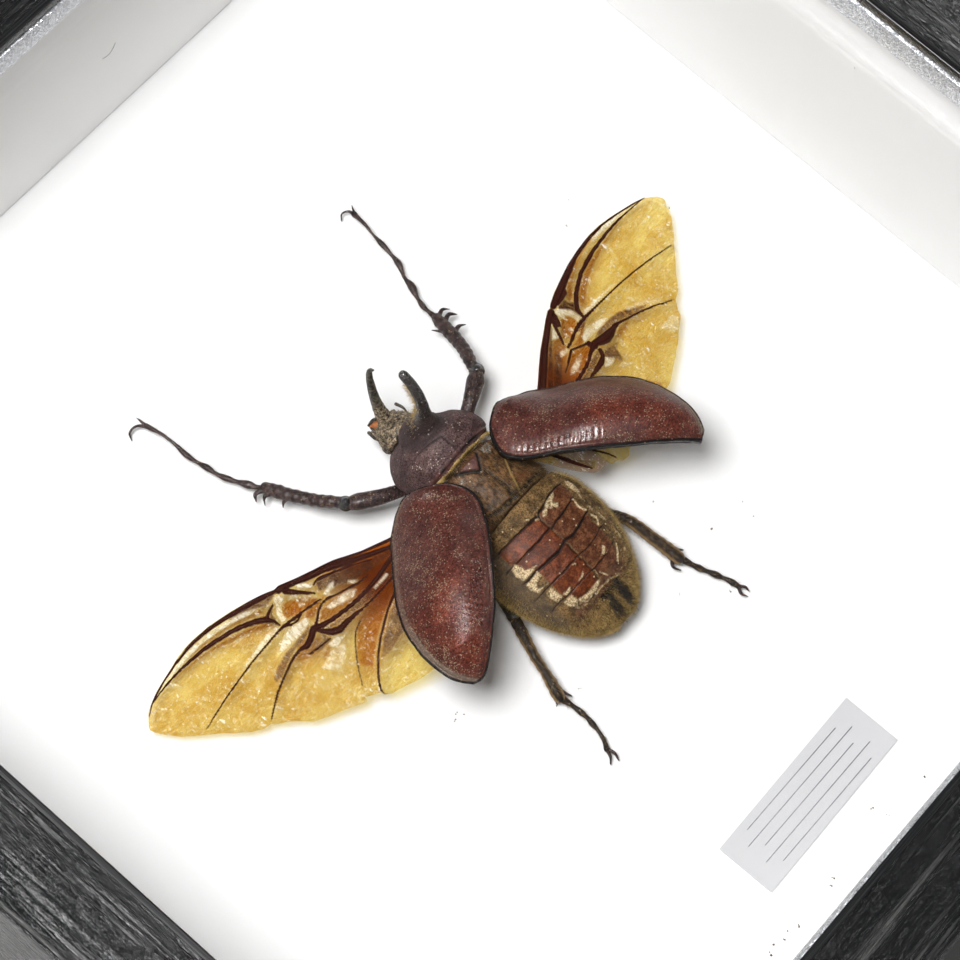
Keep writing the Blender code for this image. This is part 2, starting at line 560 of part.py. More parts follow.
def make_abdomen(seat):
    """Each plate of the back ends in a small step over the next one."""
    stations = []
    for number, station in enumerate(ABDOMEN_RINGS):
        v, wide, margin, top, bottom = station
        if number in TERGITES:
            stations.append((v + TERGITE_SEAM, wide, margin, top, bottom))
            stations.append((v, wide - TERGITE_STEP / 2, margin, top - TERGITE_STEP, bottom))
        else:
            stations.append(station)
    rings = [ring(station, 24, 1.5) for station in stations]
    solid("abdomen", skin(rings), "abdomen_shell", seat, sharp=25)


def shell(name, top, bottom, slot, seat):
    """A thin curved plate between two grids of points with the same rows and columns."""
    rows, columns = len(top), len(top[0])
    faces = []
    for i in range(rows - 1):
        for j in range(columns - 1):
            faces.append((top[i][j], top[i][j + 1], top[i + 1][j + 1], top[i + 1][j]))
            faces.append((bottom[i][j], bottom[i + 1][j], bottom[i + 1][j + 1], bottom[i][j + 1]))
    for i in range(rows - 1):
        faces.append((top[i][0], top[i + 1][0], bottom[i + 1][0], bottom[i][0]))
        faces.append((top[i + 1][-1], top[i][-1], bottom[i][-1], bottom[i + 1][-1]))
    for j in range(columns - 1):
        faces.append((top[0][j + 1], top[0][j], bottom[0][j], bottom[0][j + 1]))
        faces.append((top[-1][j], top[-1][j + 1], bottom[-1][j + 1], bottom[-1][j]))
    return solid(name, faces, slot, seat, sharp=50)


def make_elytron(seat, side):
    """A hard wing case: an arched shell between its two margins, steepest at the outer one."""
    sign = 1 if side == "right" else -1
    last = len(ELYTRON_INNER) - 1
    top, bottom = [], []
    for i, (inner, outer) in enumerate(zip(ELYTRON_INNER, ELYTRON_OUTER)):
        inner, outer = Vector(inner), Vector(outer)
        span = (outer - inner).length
        along = min(max(i / last, 0.03), 0.97)
        body = ELYTRON_BULGE * min(1.0, span / 9.0) * math.sin(math.pi * along) ** 0.35
        upper, lower = [], []
        for j in range(ELYTRON_COLUMNS + 1):
            t = j / ELYTRON_COLUMNS
            lift = body * math.sin(math.pi * t**1.25) ** 0.8 if 0 < t < 1 else 0.0
            point = inner.lerp(outer, t) + Vector((0.45, 0.15, 1.0)).normalized() * lift
            upper.append((sign * point.x, point.y, point.z))
            lower.append((sign * point.x, point.y, point.z - ELYTRON_THICK))
        top.append(upper)
        bottom.append(lower)
    shell("elytron_" + side, top, bottom, "elytra_shell", seat)


def wing_height(u):
    return WING_TIP_HEIGHT + WING_DROP * math.exp(-(u - WING_ROOT_U) / WING_DROP_LENGTH)


def wing_point(u, v, side, lift=0.0):
    sign = 1 if side == "right" else -1
    swing = math.radians(WING_SWING[side])
    return (sign * u, v + WING_SHIFT[side] + u * math.sin(swing), wing_height(u) + lift)


def make_hindwing(seat, side):
    """A membrane plate with its main veins standing out on both faces."""
    top, bottom = [], []
    for front, rear in zip(WING_FRONT, WING_REAR[side]):
        upper, lower = [], []
        for j in range(WING_COLUMNS + 1):
            t = j / WING_COLUMNS
            u, v = (a + (b - a) * t for a, b in zip(front, rear))
            upper.append(wing_point(u, v, side, WING_THICK / 2))
            lower.append(wing_point(u, v, side, -WING_THICK / 2))
        top.append(upper)
        bottom.append(lower)
    plate = shell("hindwing_" + side, top, bottom, "wing_membrane", seat)
    veins = []
    for vein in WING_VEINS:
        line = [(*wing_point(u, v, side), radius) for u, v, radius in vein]
        veins.append(limb("vein", line, "wing_membrane", seat, sides=5))
    fuse(plate, veins)


def make_leg(seat, name):
    parts = LEGS[name]
    femur = limb(name, parts["femur"], "leg_shell", seat, sides=8)
    shapes = [limb("tibia", parts["tibia"], "leg_shell", seat, sides=8)]
    shapes.append(limb("tarsus", parts["tarsus"], "leg_shell", seat))
    shapes += [limb("spike", spike, "leg_shell", seat, sides=5) for spike in parts["spikes"]]
    fuse(femur, shapes)


def make_beetle():
    seat = bpy.data.objects.new("beetle_seat", None)
    seat.location = Vector((*BEETLE_PLACE, BOARD_TOP + BEETLE_GAP)) * MM
    seat.rotation_euler.z = math.radians(BEETLE_TURN)
    bpy.context.scene.collection.objects.link(seat)
    make_head(seat)
    make_pronotum(seat)
    make_thorax(seat)
    make_abdomen(seat)
    for side in ("left", "right"):
        make_elytron(seat, side)
        make_hindwing(seat, side)
    for name in LEGS:
        make_leg(seat, name)


clear_scene()
make_frame()
make_label()
make_beetle()
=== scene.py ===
"""The looks of a rhinoceros beetle mounted in flight in a shallow glazed box frame.

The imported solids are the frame. Fine meshes stand in for the moulding, the slips and the beetle.
The beetle's own points are (u, v, h) in millimetres: u to its right, v towards its head and h above
the backing board. For wings and wing cases u is counted outwards on both sides. Marks are numbers
kept at a mesh's points, and the materials read them.
"""

import math

import bpy
import numpy as np
from mathutils import Matrix, Vector, noise


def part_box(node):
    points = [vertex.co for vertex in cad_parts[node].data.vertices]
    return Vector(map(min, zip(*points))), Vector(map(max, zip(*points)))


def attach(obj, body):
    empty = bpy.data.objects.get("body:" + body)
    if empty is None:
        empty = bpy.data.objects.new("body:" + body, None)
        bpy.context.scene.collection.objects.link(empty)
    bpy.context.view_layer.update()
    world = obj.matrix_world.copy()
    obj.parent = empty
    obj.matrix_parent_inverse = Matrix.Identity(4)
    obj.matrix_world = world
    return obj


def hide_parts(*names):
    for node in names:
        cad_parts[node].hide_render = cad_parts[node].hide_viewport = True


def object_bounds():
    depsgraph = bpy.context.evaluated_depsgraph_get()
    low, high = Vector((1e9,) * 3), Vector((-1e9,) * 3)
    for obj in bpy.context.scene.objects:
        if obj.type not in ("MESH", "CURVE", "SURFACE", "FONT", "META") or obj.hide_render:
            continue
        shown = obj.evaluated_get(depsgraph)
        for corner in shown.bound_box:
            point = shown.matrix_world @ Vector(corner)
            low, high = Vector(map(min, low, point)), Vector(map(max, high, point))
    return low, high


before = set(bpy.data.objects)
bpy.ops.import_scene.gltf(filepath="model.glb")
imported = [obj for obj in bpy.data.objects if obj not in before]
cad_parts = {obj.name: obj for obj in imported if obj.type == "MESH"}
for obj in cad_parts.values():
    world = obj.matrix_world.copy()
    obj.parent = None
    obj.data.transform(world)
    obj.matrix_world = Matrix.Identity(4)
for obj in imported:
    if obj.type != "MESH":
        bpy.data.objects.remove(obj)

MM = 0.001
CAD_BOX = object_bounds()
SEED = 11

# Where the three corners of a hair's cross-section stand round it, in radians
THIRDS = (0, 2.094, 4.189)

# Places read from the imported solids, in millimetres
FRAME_LOW, FRAME_HIGH = (corner / MM for corner in CAD_BOX)
BOARD_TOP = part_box("backing_board")[1].z / MM
LABEL_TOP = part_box("label")[1].z / MM
FACE_Z = FRAME_HIGH.z
LIP_UNDER = FACE_Z - 1.8
SLIP_LOW, SLIP_TOP = (corner.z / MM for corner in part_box("silver_slip_right"))

# The opening inside the rails, the depth of their rebate, the slips' play in it, and how far
# each end is sawn short of the mitre
OPEN_X = 145.8
OPEN_Y = 145.0
REBATE = 4.4
SLIP_PLAY = 0.3
MITRE_SAW = 0.02

# Ruled lines on the label, and half the width of one
LABEL_LINES = 5
LINE_HALF = 0.07

# The room's own light: its strength overhead and at the horizon, and where the brighter band ends
WORLD_STRENGTH = 0.01
HORIZON_STRENGTH = 0.5
HORIZON_TOP = 0.35

# Lamps as (name, place in metres, size in metres, power): one up to the left, one in front, and
# the place that both face
LAMP_AIM = (0, 0, 0.03)
LAMPS = [
    ("key", (-0.145, 0.04, 0.47), 0.18, 2.95),
    ("fill", (0.15, -0.65, 0.6), 0.6, 0.6),
]

# How many hairs there are of each kind, and bristles on the front legs and on the others
HAIRS = {"fuzz": 15000, "tuft": 420, "coat": 6000, "crown": 420, "fringe": 1300, "horn": 700}
LEG_HAIRS = {
    "front": {"femur": 160, "tibia": 120, "tarsus": 240},
    "other": {"femur": 420, "tibia": 620, "tarsus": 240},
}

# Where the beetle's middle line stands on the board, and how far its head leans to the left
BEETLE_PLACE = (3.25, 0.0)
BEETLE_TURN = 1.4
BEETLE_GAP = 0.2
SEAT = Matrix.Translation(Vector((*BEETLE_PLACE, BOARD_TOP + BEETLE_GAP)) * MM)
SEAT = SEAT @ Matrix.Rotation(math.radians(BEETLE_TURN), 4, "Z")

# Camera: its place and the directions that it looks along and holds upright, in the frame's axes
CAMERA_PLACE = (-124.04, -66.27, 388.77)
CAMERA_AHEAD = (0.32094, 0.16397, -0.93280)
CAMERA_UP = (0.68524, 0.63969, 0.34821)
CAMERA_LENS = 112.5
SENSOR = 36.0

# How full a belly is under its side margins: 1 draws straight in and 2 is round
HEAD_KEEL = 1.6
BODY_KEEL = 1.5

# Body rings from the front back: (v, half width, height of the side margin, top, bottom)
PRONOTUM_RINGS = [
    (10.5, 3.8, 6.2, 9.2, 3.6),
    (9.8, 4.7, 6.3, 11.0, 2.9),
    (8.9, 5.6, 6.4, 12.7, 2.5),
    (7.9, 6.3, 6.6, 14.2, 2.3),
    (6.6, 6.9, 7.3, 15.2, 2.2),
    (5.2, 7.1, 8.4, 15.5, 2.4),
    (4.0, 7.05, 8.9, 15.3, 3.0),
    (3.3, 6.75, 9.4, 15.0, 4.2),
    (2.7, 6.0, 10.5, 14.8, 5.8),
    (2.25, 4.8, 12.0, 14.6, 8.0),
    (1.95, 3.4, 13.3, 14.4, 10.5),
]
HEAD_RINGS = [
    (15.2, 0.9, 4.1, 4.8, 3.4),
    (14.7, 1.9, 4.4, 5.9, 3.0),
    (13.9, 2.5, 4.8, 7.1, 2.7),
    (12.8, 3.0, 5.1, 8.0, 2.5),
    (11.8, 3.4, 5.3, 8.4, 2.5),
    (11.2, 3.5, 5.4, 8.3, 2.8),
    (10.9, 3.0, 5.4, 7.9, 3.3),
]
THORAX_RINGS = [
    (1.6, 4.2, 10.4, 13.8, 7.0),
    (1.1, 5.6, 8.6, 14.0, 4.4),
    (0.2, 6.6, 7.4, 14.0, 2.2),
    (-1.6, 7.2, 6.8, 13.9, 1.1),
    (-4.4, 7.4, 6.6, 13.8, 0.9),
    (-6.8, 7.4, 6.7, 13.5, 1.1),
    (-7.2, 7.1, 6.8, 13.1, 1.5),
]
ABDOMEN_RINGS = [
    (-7.5, 8.4, 6.8, 12.9, 3.0),
    (-10.0, 9.4, 6.8, 13.0, 2.7),
    (-12.5, 9.65, 6.6, 12.8, 2.5),
    (-15.2, 9.6, 6.2, 12.3, 2.4),
    (-18.0, 9.1, 5.7, 11.4, 2.4),
    (-20.3, 8.35, 5.2, 10.3, 2.4),
    (-22.5, 7.2, 4.8, 8.9, 2.5),
    (-24.2, 5.95, 4.4, 7.6, 2.6),
    (-25.5, 4.8, 4.2, 6.6, 2.8),
    (-26.4, 3.7, 4.05, 5.8, 3.0),
    (-27.0, 2.6, 3.95, 5.1, 3.2),
    (-27.4, 1.3, 3.9, 4.5, 3.4),
]

# Horns as (u, v, h, radius)
HEAD_HORN = [
    (0.0, 13.6, 5.0, 1.25),
    (0.0, 14.8, 6.2, 1.05),
    (0.0, 15.8, 7.9, 0.85),
    (0.0, 16.7, 9.9, 0.7),
    (0.0, 17.4, 12.3, 0.6),
    (0.0, 17.95, 14.6, 0.5),
    (0.0, 18.15, 16.3, 0.42),
    (0.0, 18.05, 17.4, 0.34),
    (0.0, 17.6, 18.2, 0.16),
]
PRONOTUM_HORN = [
    (0.0, 7.9, 11.0, 3.7),
    (0.0, 8.3, 13.0, 2.7),
    (0.0, 8.7, 15.1, 1.7),
    (0.0, 9.0, 17.4, 1.12),
    (0.0, 9.4, 19.6, 0.85),
    (0.0, 10.1, 21.4, 0.77),
    (0.0, 11.1, 22.7, 0.73),
    (0.0, 12.2, 23.6, 0.7),
    (0.0, 13.0, 24.0, 0.66),
]

# Elytra: inner and outer margin from the shoulder to the tip, u counted outwards
ELYTRON_INNER = {
    "right": [
        (8.9, 3.6, 12.6), (7.4, 3.15, 13.6), (5.35, 2.05, 14.4), (3.95, 0.6, 14.4), (2.9, -1.95, 14.6),
        (3.7, -4.15, 15.3), (5.3, -6.1, 16.5), (7.35, -8.1, 17.6), (9.5, -10.2, 18.1),
        (11.8, -12.15, 18.0), (14.0, -14.15, 17.8), (16.35, -16.1, 17.4), (19.05, -18.25, 16.4),
        (20.9, -19.7, 15.3), (21.9, -20.65, 14.7),
    ],
    "left": [
        (8.65, 3.9, 12.6), (7.3, 3.1, 13.6), (5.75, 1.7, 14.4), (4.35, 0.3, 14.4), (3.6, -1.75, 14.6),
        (4.0, -3.85, 15.3), (5.5, -5.9, 16.5), (7.4, -8.05, 17.6), (9.55, -10.2, 18.1),
        (11.7, -12.35, 18.0), (13.85, -14.35, 17.8), (16.3, -16.2, 17.4), (19.15, -18.1, 16.4),
        (21.2, -19.35, 15.3), (22.45, -19.6, 14.7),
    ],
}
ELYTRON_OUTER = {
    "right": [
        (8.9, 3.6, 12.6), (11.05, 3.25, 10.8), (12.8, 2.7, 9.4), (14.25, 1.9, 9.4), (16.3, -0.2, 10.4),
        (18.75, -2.05, 11.3), (20.8, -4.0, 12.2), (22.35, -6.1, 13.1), (23.55, -8.1, 13.7),
        (24.35, -10.2, 14.0), (24.75, -12.1, 14.3), (24.9, -14.15, 14.7), (24.75, -16.4, 15.0),
        (24.35, -18.25, 14.8), (23.5, -19.85, 14.5),
    ],
    "left": [
        (8.65, 3.9, 12.6), (9.6, 4.3, 11.4), (11.2, 3.85, 10.2), (12.8, 3.0, 9.4), (14.35, 2.0, 9.4),
        (16.6, 0.0, 10.4), (18.8, -2.0, 11.3), (20.8, -4.0, 12.2), (22.5, -6.0, 13.1), (23.7, -8.0, 13.7),
        (24.4, -10.0, 14.0), (24.9, -12.0, 14.3), (25.1, -14.0, 14.7), (25.0, -16.2, 15.0),
        (24.35, -17.7, 14.8), (23.35, -19.0, 14.5),
    ],
}
ELYTRON_BULGE = 3.3
ELYTRON_THICK = 0.6
ELYTRON_RIM = 0.28

# Rows and columns of the meshes of one wing case and one hind wing
ELYTRON_GRID = (262, 80)
WING_GRID = (290, 106)

# On the elytra as (u, v, half width): dusty places, places of a painted reddish sheen and where the shell
# ripples
ELYTRON_DUST = {
    "right": [[(10.0, -2.0, 1.2), (12.0, -3.4, 0.8)], [(16.0, -6.0, 1.4), (19.0, -8.5, 1.0)],
              [(12.5, -11.6, 0.7), (15.0, -13.6, 0.7)]],
    "left": [[(16.6, -3.2, 1.3), (17.4, -3.9, 1.0)], [(12.9, -6.9, 0.9), (13.4, -7.4, 0.7)],
             [(17.2, -6.4, 1.7), (18.4, -9.2, 1.9)], [(7.8, 1.3, 1.2), (5.6, -2.1, 1.0)],
             [(23.8, -10.1, 1.3), (24.5, -15.5, 1.4)]],
}
ELYTRON_SHEEN = {
    "right": [[(15.0, -8.0, 3.0), (19.2, -11.9, 4.0), (21.6, -16.8, 3.0)]],
    "left": [[(17.0, -9.0, 3.0), (20.0, -11.2, 4.4), (21.4, -16.5, 3.4)]],
}
ELYTRON_RIPPLES = {
    "right": [(0.83, 0.055, [(4.6, -3.6, 1.0), (7.6, -6.6, 1.5), (10.6, -9.0, 1.2), (12.6, -10.6, 0.7)]),
              (0.45, 0.015, [(13.0, -11.0, 1.3), (16.5, -14.2, 1.3)])],
    "left": [(0.8, 0.05, [(12.1, -9.5, 1.2), (15.6, -12.4, 1.6), (18.3, -14.6, 1.4)]),
             (0.42, 0.025, [(7.6, -4.5, 1.7), (12.2, -8.3, 1.6)])],
}

# Hind wing, laid out flat as (u, v) from the root outwards, and how its height falls towards the tip
WING_TIP_HEIGHT, WING_DROP, WING_DROP_LENGTH, WING_ROOT_U = 2.0, 9.5, 16.8, 5.0
WING_THICK = 0.09
WING_FRONT = {
    "left": [
        (6.2, -1.0), (9.5, 0.6), (13.2, 2.75), (17.0, 4.7), (20.3, 6.85), (24.5, 8.75), (27.5, 10.15),
        (28.2, 10.2), (29.7, 11.05), (31.8, 11.9), (34.0, 12.65), (37.4, 13.55), (39.9, 13.85),
        (41.5, 13.9), (43.0, 13.8), (44.7, 13.45), (46.8, 13.1), (48.2, 12.8), (49.7, 12.3), (50.9, 11.8),
        (51.9, 10.9), (52.4, 10.4), (52.6, 10.0),
    ],
    "right": [
        (6.2, -2.6), (9.5, -1.6), (13.0, -0.2), (17.0, 2.3), (19.0, 3.7), (21.4, 5.3), (23.9, 6.75),
        (25.9, 7.9), (27.1, 8.55), (27.6, 8.5), (28.3, 8.95), (30.0, 9.65), (32.6, 10.4), (34.8, 11.0),
        (37.4, 11.45), (40.5, 11.75), (42.6, 11.65), (44.7, 11.3), (46.8, 10.8), (48.8, 10.3),
        (50.1, 9.8), (50.9, 9.25), (51.9, 8.4), (52.2, 7.6),
    ],
}
WING_REAR = {
    "left": [
        (6.2, -2.8), (7.4, -6.2), (8.6, -9.0), (10.8, -10.5), (13.5, -11.6), (16.5, -12.6), (20.0, -13.0),
        (22.6, -12.8), (24.9, -12.2), (26.6, -11.4), (28.5, -10.65), (29.3, -10.0), (29.5, -9.3),
        (30.5, -8.75), (31.3, -8.2), (31.4, -8.8), (32.2, -8.5), (34.2, -7.3), (36.3, -6.25),
        (38.0, -5.3), (38.8, -4.2), (39.3, -3.5), (39.9, -2.9), (41.5, -1.75), (41.7, -1.3),
        (43.0, -0.95), (44.3, 0.0), (45.7, 1.45), (46.8, 2.7), (48.8, 4.6), (50.5, 6.25), (51.3, 7.5),
        (52.0, 8.5), (52.4, 9.4), (52.6, 10.0),
    ],
    "right": [
        (6.2, -4.4), (7.6, -6.4), (8.6, -8.2), (9.7, -9.8), (10.6, -10.9), (11.5, -11.8), (12.3, -12.15),
        (13.5, -12.1), (14.2, -11.95), (14.4, -12.6), (15.5, -12.9), (16.0, -13.4), (17.2, -13.5),
        (18.0, -13.0), (19.8, -12.3), (23.0, -12.4), (26.2, -11.8), (29.2, -10.85), (30.3, -10.75),
        (32.2, -9.7), (34.0, -8.8), (35.9, -7.8), (37.4, -6.8), (39.5, -5.5), (39.9, -4.7), (40.9, -3.5),
        (42.4, -2.8), (43.4, -1.8), (45.7, 0.3), (47.6, 2.0), (48.8, 3.0), (50.5, 4.7), (51.4, 5.9),
        (51.5, 6.7), (51.9, 6.8), (52.2, 7.3),
    ],
}

# Veins: how dark they are, then points as (u, v, half width)
WING_VEINS = {
    "left": [
        (0.6, [
            (8.0, -0.3, 0.3), (13.2, 2.55, 0.25), (17.2, 4.6, 0.22), (20.3, 6.65, 0.2), (24.5, 8.55, 0.2),
            (27.4, 10.0, 0.22),
        ]),
        (1.0, [
            (10.0, -0.4, 0.35), (14.1, 1.9, 0.28), (17.2, 3.8, 0.36), (19.9, 5.6, 0.42),
            (21.8, 6.85, 0.42), (24.5, 8.15, 0.4), (26.6, 9.35, 0.42), (27.8, 9.75, 0.5),
        ]),
        (0.9, [
            (28.2, 10.0, 0.3), (29.5, 10.6, 0.45), (31.5, 11.35, 0.4), (33.5, 12.05, 0.36),
            (36.0, 12.85, 0.3), (38.5, 13.4, 0.24), (41.0, 13.6, 0.2), (44.0, 13.4, 0.15),
            (47.0, 12.9, 0.12), (49.7, 12.2, 0.09), (51.3, 11.3, 0.05),
        ]),
        (0.7, [
            (17.0, 2.9, 0.08), (18.0, 3.6, 0.12), (21.4, 5.7, 0.16), (23.7, 6.75, 0.14),
            (24.3, 6.6, 0.08),
        ]),
        (0.8, [
            (31.2, 6.5, 0.12), (31.25, 7.4, 0.22), (31.8, 8.4, 0.42), (33.0, 9.3, 0.4),
            (34.5, 10.15, 0.34), (36.0, 10.8, 0.32), (38.0, 11.4, 0.28), (40.0, 11.9, 0.26),
            (42.0, 12.2, 0.22), (44.0, 12.4, 0.17), (46.0, 12.45, 0.13), (48.0, 12.35, 0.09),
            (50.2, 12.05, 0.05),
        ]),
        (0.55, [(29.7, 8.95, 0.12), (30.5, 8.8, 0.2), (31.6, 8.4, 0.3)]),
        (0.8, [
            (25.2, 4.7, 0.12), (26.6, 5.05, 0.16), (28.0, 5.4, 0.18), (29.3, 5.65, 0.22),
            (31.0, 6.05, 0.18), (33.0, 6.1, 0.13), (35.0, 6.05, 0.11), (37.0, 6.0, 0.1),
            (40.0, 5.75, 0.1), (43.0, 5.4, 0.09), (46.0, 4.9, 0.07), (47.8, 4.55, 0.04),
        ]),
        (0.7, [(28.3, 5.3, 0.1), (29.2, 5.1, 0.14), (30.2, 5.4, 0.12), (31.0, 5.9, 0.1)]),
        (1.0, [
            (10.0, 0.7, 0.35), (15.5, 1.0, 0.3), (18.0, 0.75, 0.28), (20.3, 0.72, 0.28),
            (22.4, 0.9, 0.28), (24.5, 1.3, 0.28), (26.6, 1.85, 0.3), (28.0, 2.4, 0.4), (28.7, 2.75, 0.5),
            (29.3, 2.6, 0.4),
        ]),
        (0.85, [
            (28.2, 2.9, 0.2), (27.4, 3.25, 0.16), (26.6, 3.8, 0.15), (25.5, 4.15, 0.15),
            (24.5, 4.05, 0.14), (23.25, 3.4, 0.13), (21.8, 2.8, 0.12), (20.3, 2.2, 0.1),
            (18.9, 1.95, 0.07),
        ]),
        (0.85, [
            (14.0, -0.9, 0.2), (17.4, -0.75, 0.12), (20.3, -0.65, 0.12), (22.4, -0.45, 0.14),
            (23.9, -0.15, 0.28), (25.3, 0.05, 0.4), (26.6, 0.1, 0.5), (27.4, 0.6, 0.5), (28.2, 1.7, 0.3),
            (28.6, 2.4, 0.2),
        ]),
        (1.0, [
            (29.0, 2.6, 0.4), (30.0, 2.2, 0.45), (31.0, 1.95, 0.4), (31.8, 2.3, 0.2), (33.0, 2.3, 0.17),
            (34.0, 2.1, 0.15), (36.0, 1.5, 0.13), (38.0, 0.8, 0.11), (40.0, -0.2, 0.08),
            (41.6, -1.1, 0.04),
        ]),
        (0.75, [(28.3, 0.3, 0.12), (30.0, 0.6, 0.16), (31.6, 1.0, 0.1)]),
        (1.0, [
            (27.7, 9.8, 0.4), (27.3, 9.2, 0.3), (26.8, 8.6, 0.2), (26.2, 7.6, 0.16), (25.5, 6.5, 0.14),
            (25.0, 5.8, 0.1),
        ]),
        (0.9, [(27.5, 8.9, 0.2), (26.9, 8.0, 0.14), (26.2, 7.2, 0.12), (25.6, 6.3, 0.08)]),
        (0.6, [
            (24.0, -1.25, 0.06), (25.3, -1.6, 0.08), (26.5, -2.5, 0.08), (27.5, -3.5, 0.08),
            (28.6, -4.7, 0.07), (29.5, -5.9, 0.06), (30.3, -7.0, 0.04),
        ]),
        (1.0, [
            (14.0, -1.2, 0.2), (18.7, -2.4, 0.16), (20.5, -3.0, 0.15), (22.0, -3.7, 0.15),
            (24.0, -4.7, 0.14), (26.0, -6.0, 0.14), (27.5, -7.3, 0.13), (28.6, -8.4, 0.12),
            (29.2, -9.3, 0.1), (29.3, -9.9, 0.06),
        ]),
    ],
    "right": [
        (0.6, [
            (8.0, -2.2, 0.3), (13.0, -0.45, 0.25), (17.0, 2.05, 0.2), (21.4, 5.05, 0.2),
            (25.9, 7.65, 0.2),
        ]),
        (1.0, [
            (9.0, -2.4, 0.4), (14.0, -0.4, 0.45), (17.5, 1.7, 0.45), (20.0, 3.5, 0.45),
            (22.0, 4.95, 0.45), (24.0, 6.2, 0.45), (26.0, 7.45, 0.45), (27.3, 8.0, 0.5),
        ]),
        (0.95, [
            (28.2, 8.4, 0.45), (30.0, 8.95, 0.6), (32.0, 9.65, 0.55), (34.0, 10.3, 0.48),
            (36.0, 10.9, 0.38), (38.0, 11.25, 0.3), (40.0, 11.45, 0.24), (43.0, 11.4, 0.16),
            (46.0, 10.85, 0.12), (49.0, 10.1, 0.08), (50.5, 9.6, 0.05),
        ]),
        (0.75, [(26.0, 6.4, 0.25), (25.5, 5.4, 0.22), (24.9, 4.3, 0.2), (24.5, 3.6, 0.12)]),
        (0.8, [
            (29.9, 4.5, 0.2), (30.1, 5.6, 0.34), (30.9, 6.4, 0.36), (32.0, 7.3, 0.33), (33.5, 8.1, 0.3),
            (35.0, 8.8, 0.29), (37.0, 9.35, 0.29), (39.0, 9.75, 0.27), (41.0, 10.0, 0.24),
            (43.0, 10.15, 0.2), (45.0, 10.2, 0.15), (47.0, 10.05, 0.1), (50.0, 9.75, 0.05),
        ]),
        (0.8, [
            (24.6, 2.9, 0.2), (25.6, 3.1, 0.2), (26.6, 3.5, 0.22), (27.6, 3.8, 0.26), (28.5, 4.0, 0.3),
            (30.0, 4.1, 0.25), (32.0, 4.05, 0.15), (35.0, 3.95, 0.11), (38.0, 3.8, 0.1),
            (41.0, 3.45, 0.09), (44.0, 2.95, 0.08), (46.0, 2.5, 0.06), (47.3, 2.2, 0.04),
        ]),
        (0.9, [
            (27.3, 1.3, 0.2), (26.5, 1.5, 0.17), (25.5, 1.9, 0.16), (24.5, 2.3, 0.15), (23.5, 1.8, 0.14),
            (22.4, 1.2, 0.12), (21.2, 0.65, 0.08),
        ]),
        (1.0, [
            (14.0, -1.8, 0.3), (18.0, -1.5, 0.26), (21.0, -1.3, 0.24), (22.0, -1.2, 0.24),
            (23.5, -0.9, 0.24), (25.0, -0.5, 0.24), (26.0, 0.0, 0.25), (27.0, 0.4, 0.35),
            (28.0, 0.55, 0.5), (29.2, 0.1, 0.6), (30.5, 0.1, 0.45), (32.0, 0.4, 0.22), (33.0, 0.05, 0.17),
            (34.0, -0.3, 0.15), (36.0, -0.95, 0.12), (38.0, -1.8, 0.1), (39.5, -2.6, 0.07),
            (40.8, -3.25, 0.04),
        ]),
        (0.85, [
            (20.0, -2.6, 0.1), (23.2, -2.3, 0.16), (24.6, -2.1, 0.36), (26.0, -1.9, 0.42),
            (27.0, -1.4, 0.3), (27.4, -0.6, 0.3),
        ]),
        (0.9, [
            (9.2, -5.8, 0.3), (10.2, -8.0, 0.36), (10.8, -9.3, 0.3), (11.3, -10.3, 0.22),
            (11.8, -11.2, 0.1),
        ]),
        (0.9, [(13.6, -8.6, 0.12), (14.8, -10.4, 0.14), (15.3, -11.3, 0.12), (15.65, -12.4, 0.08)]),
    ],
}

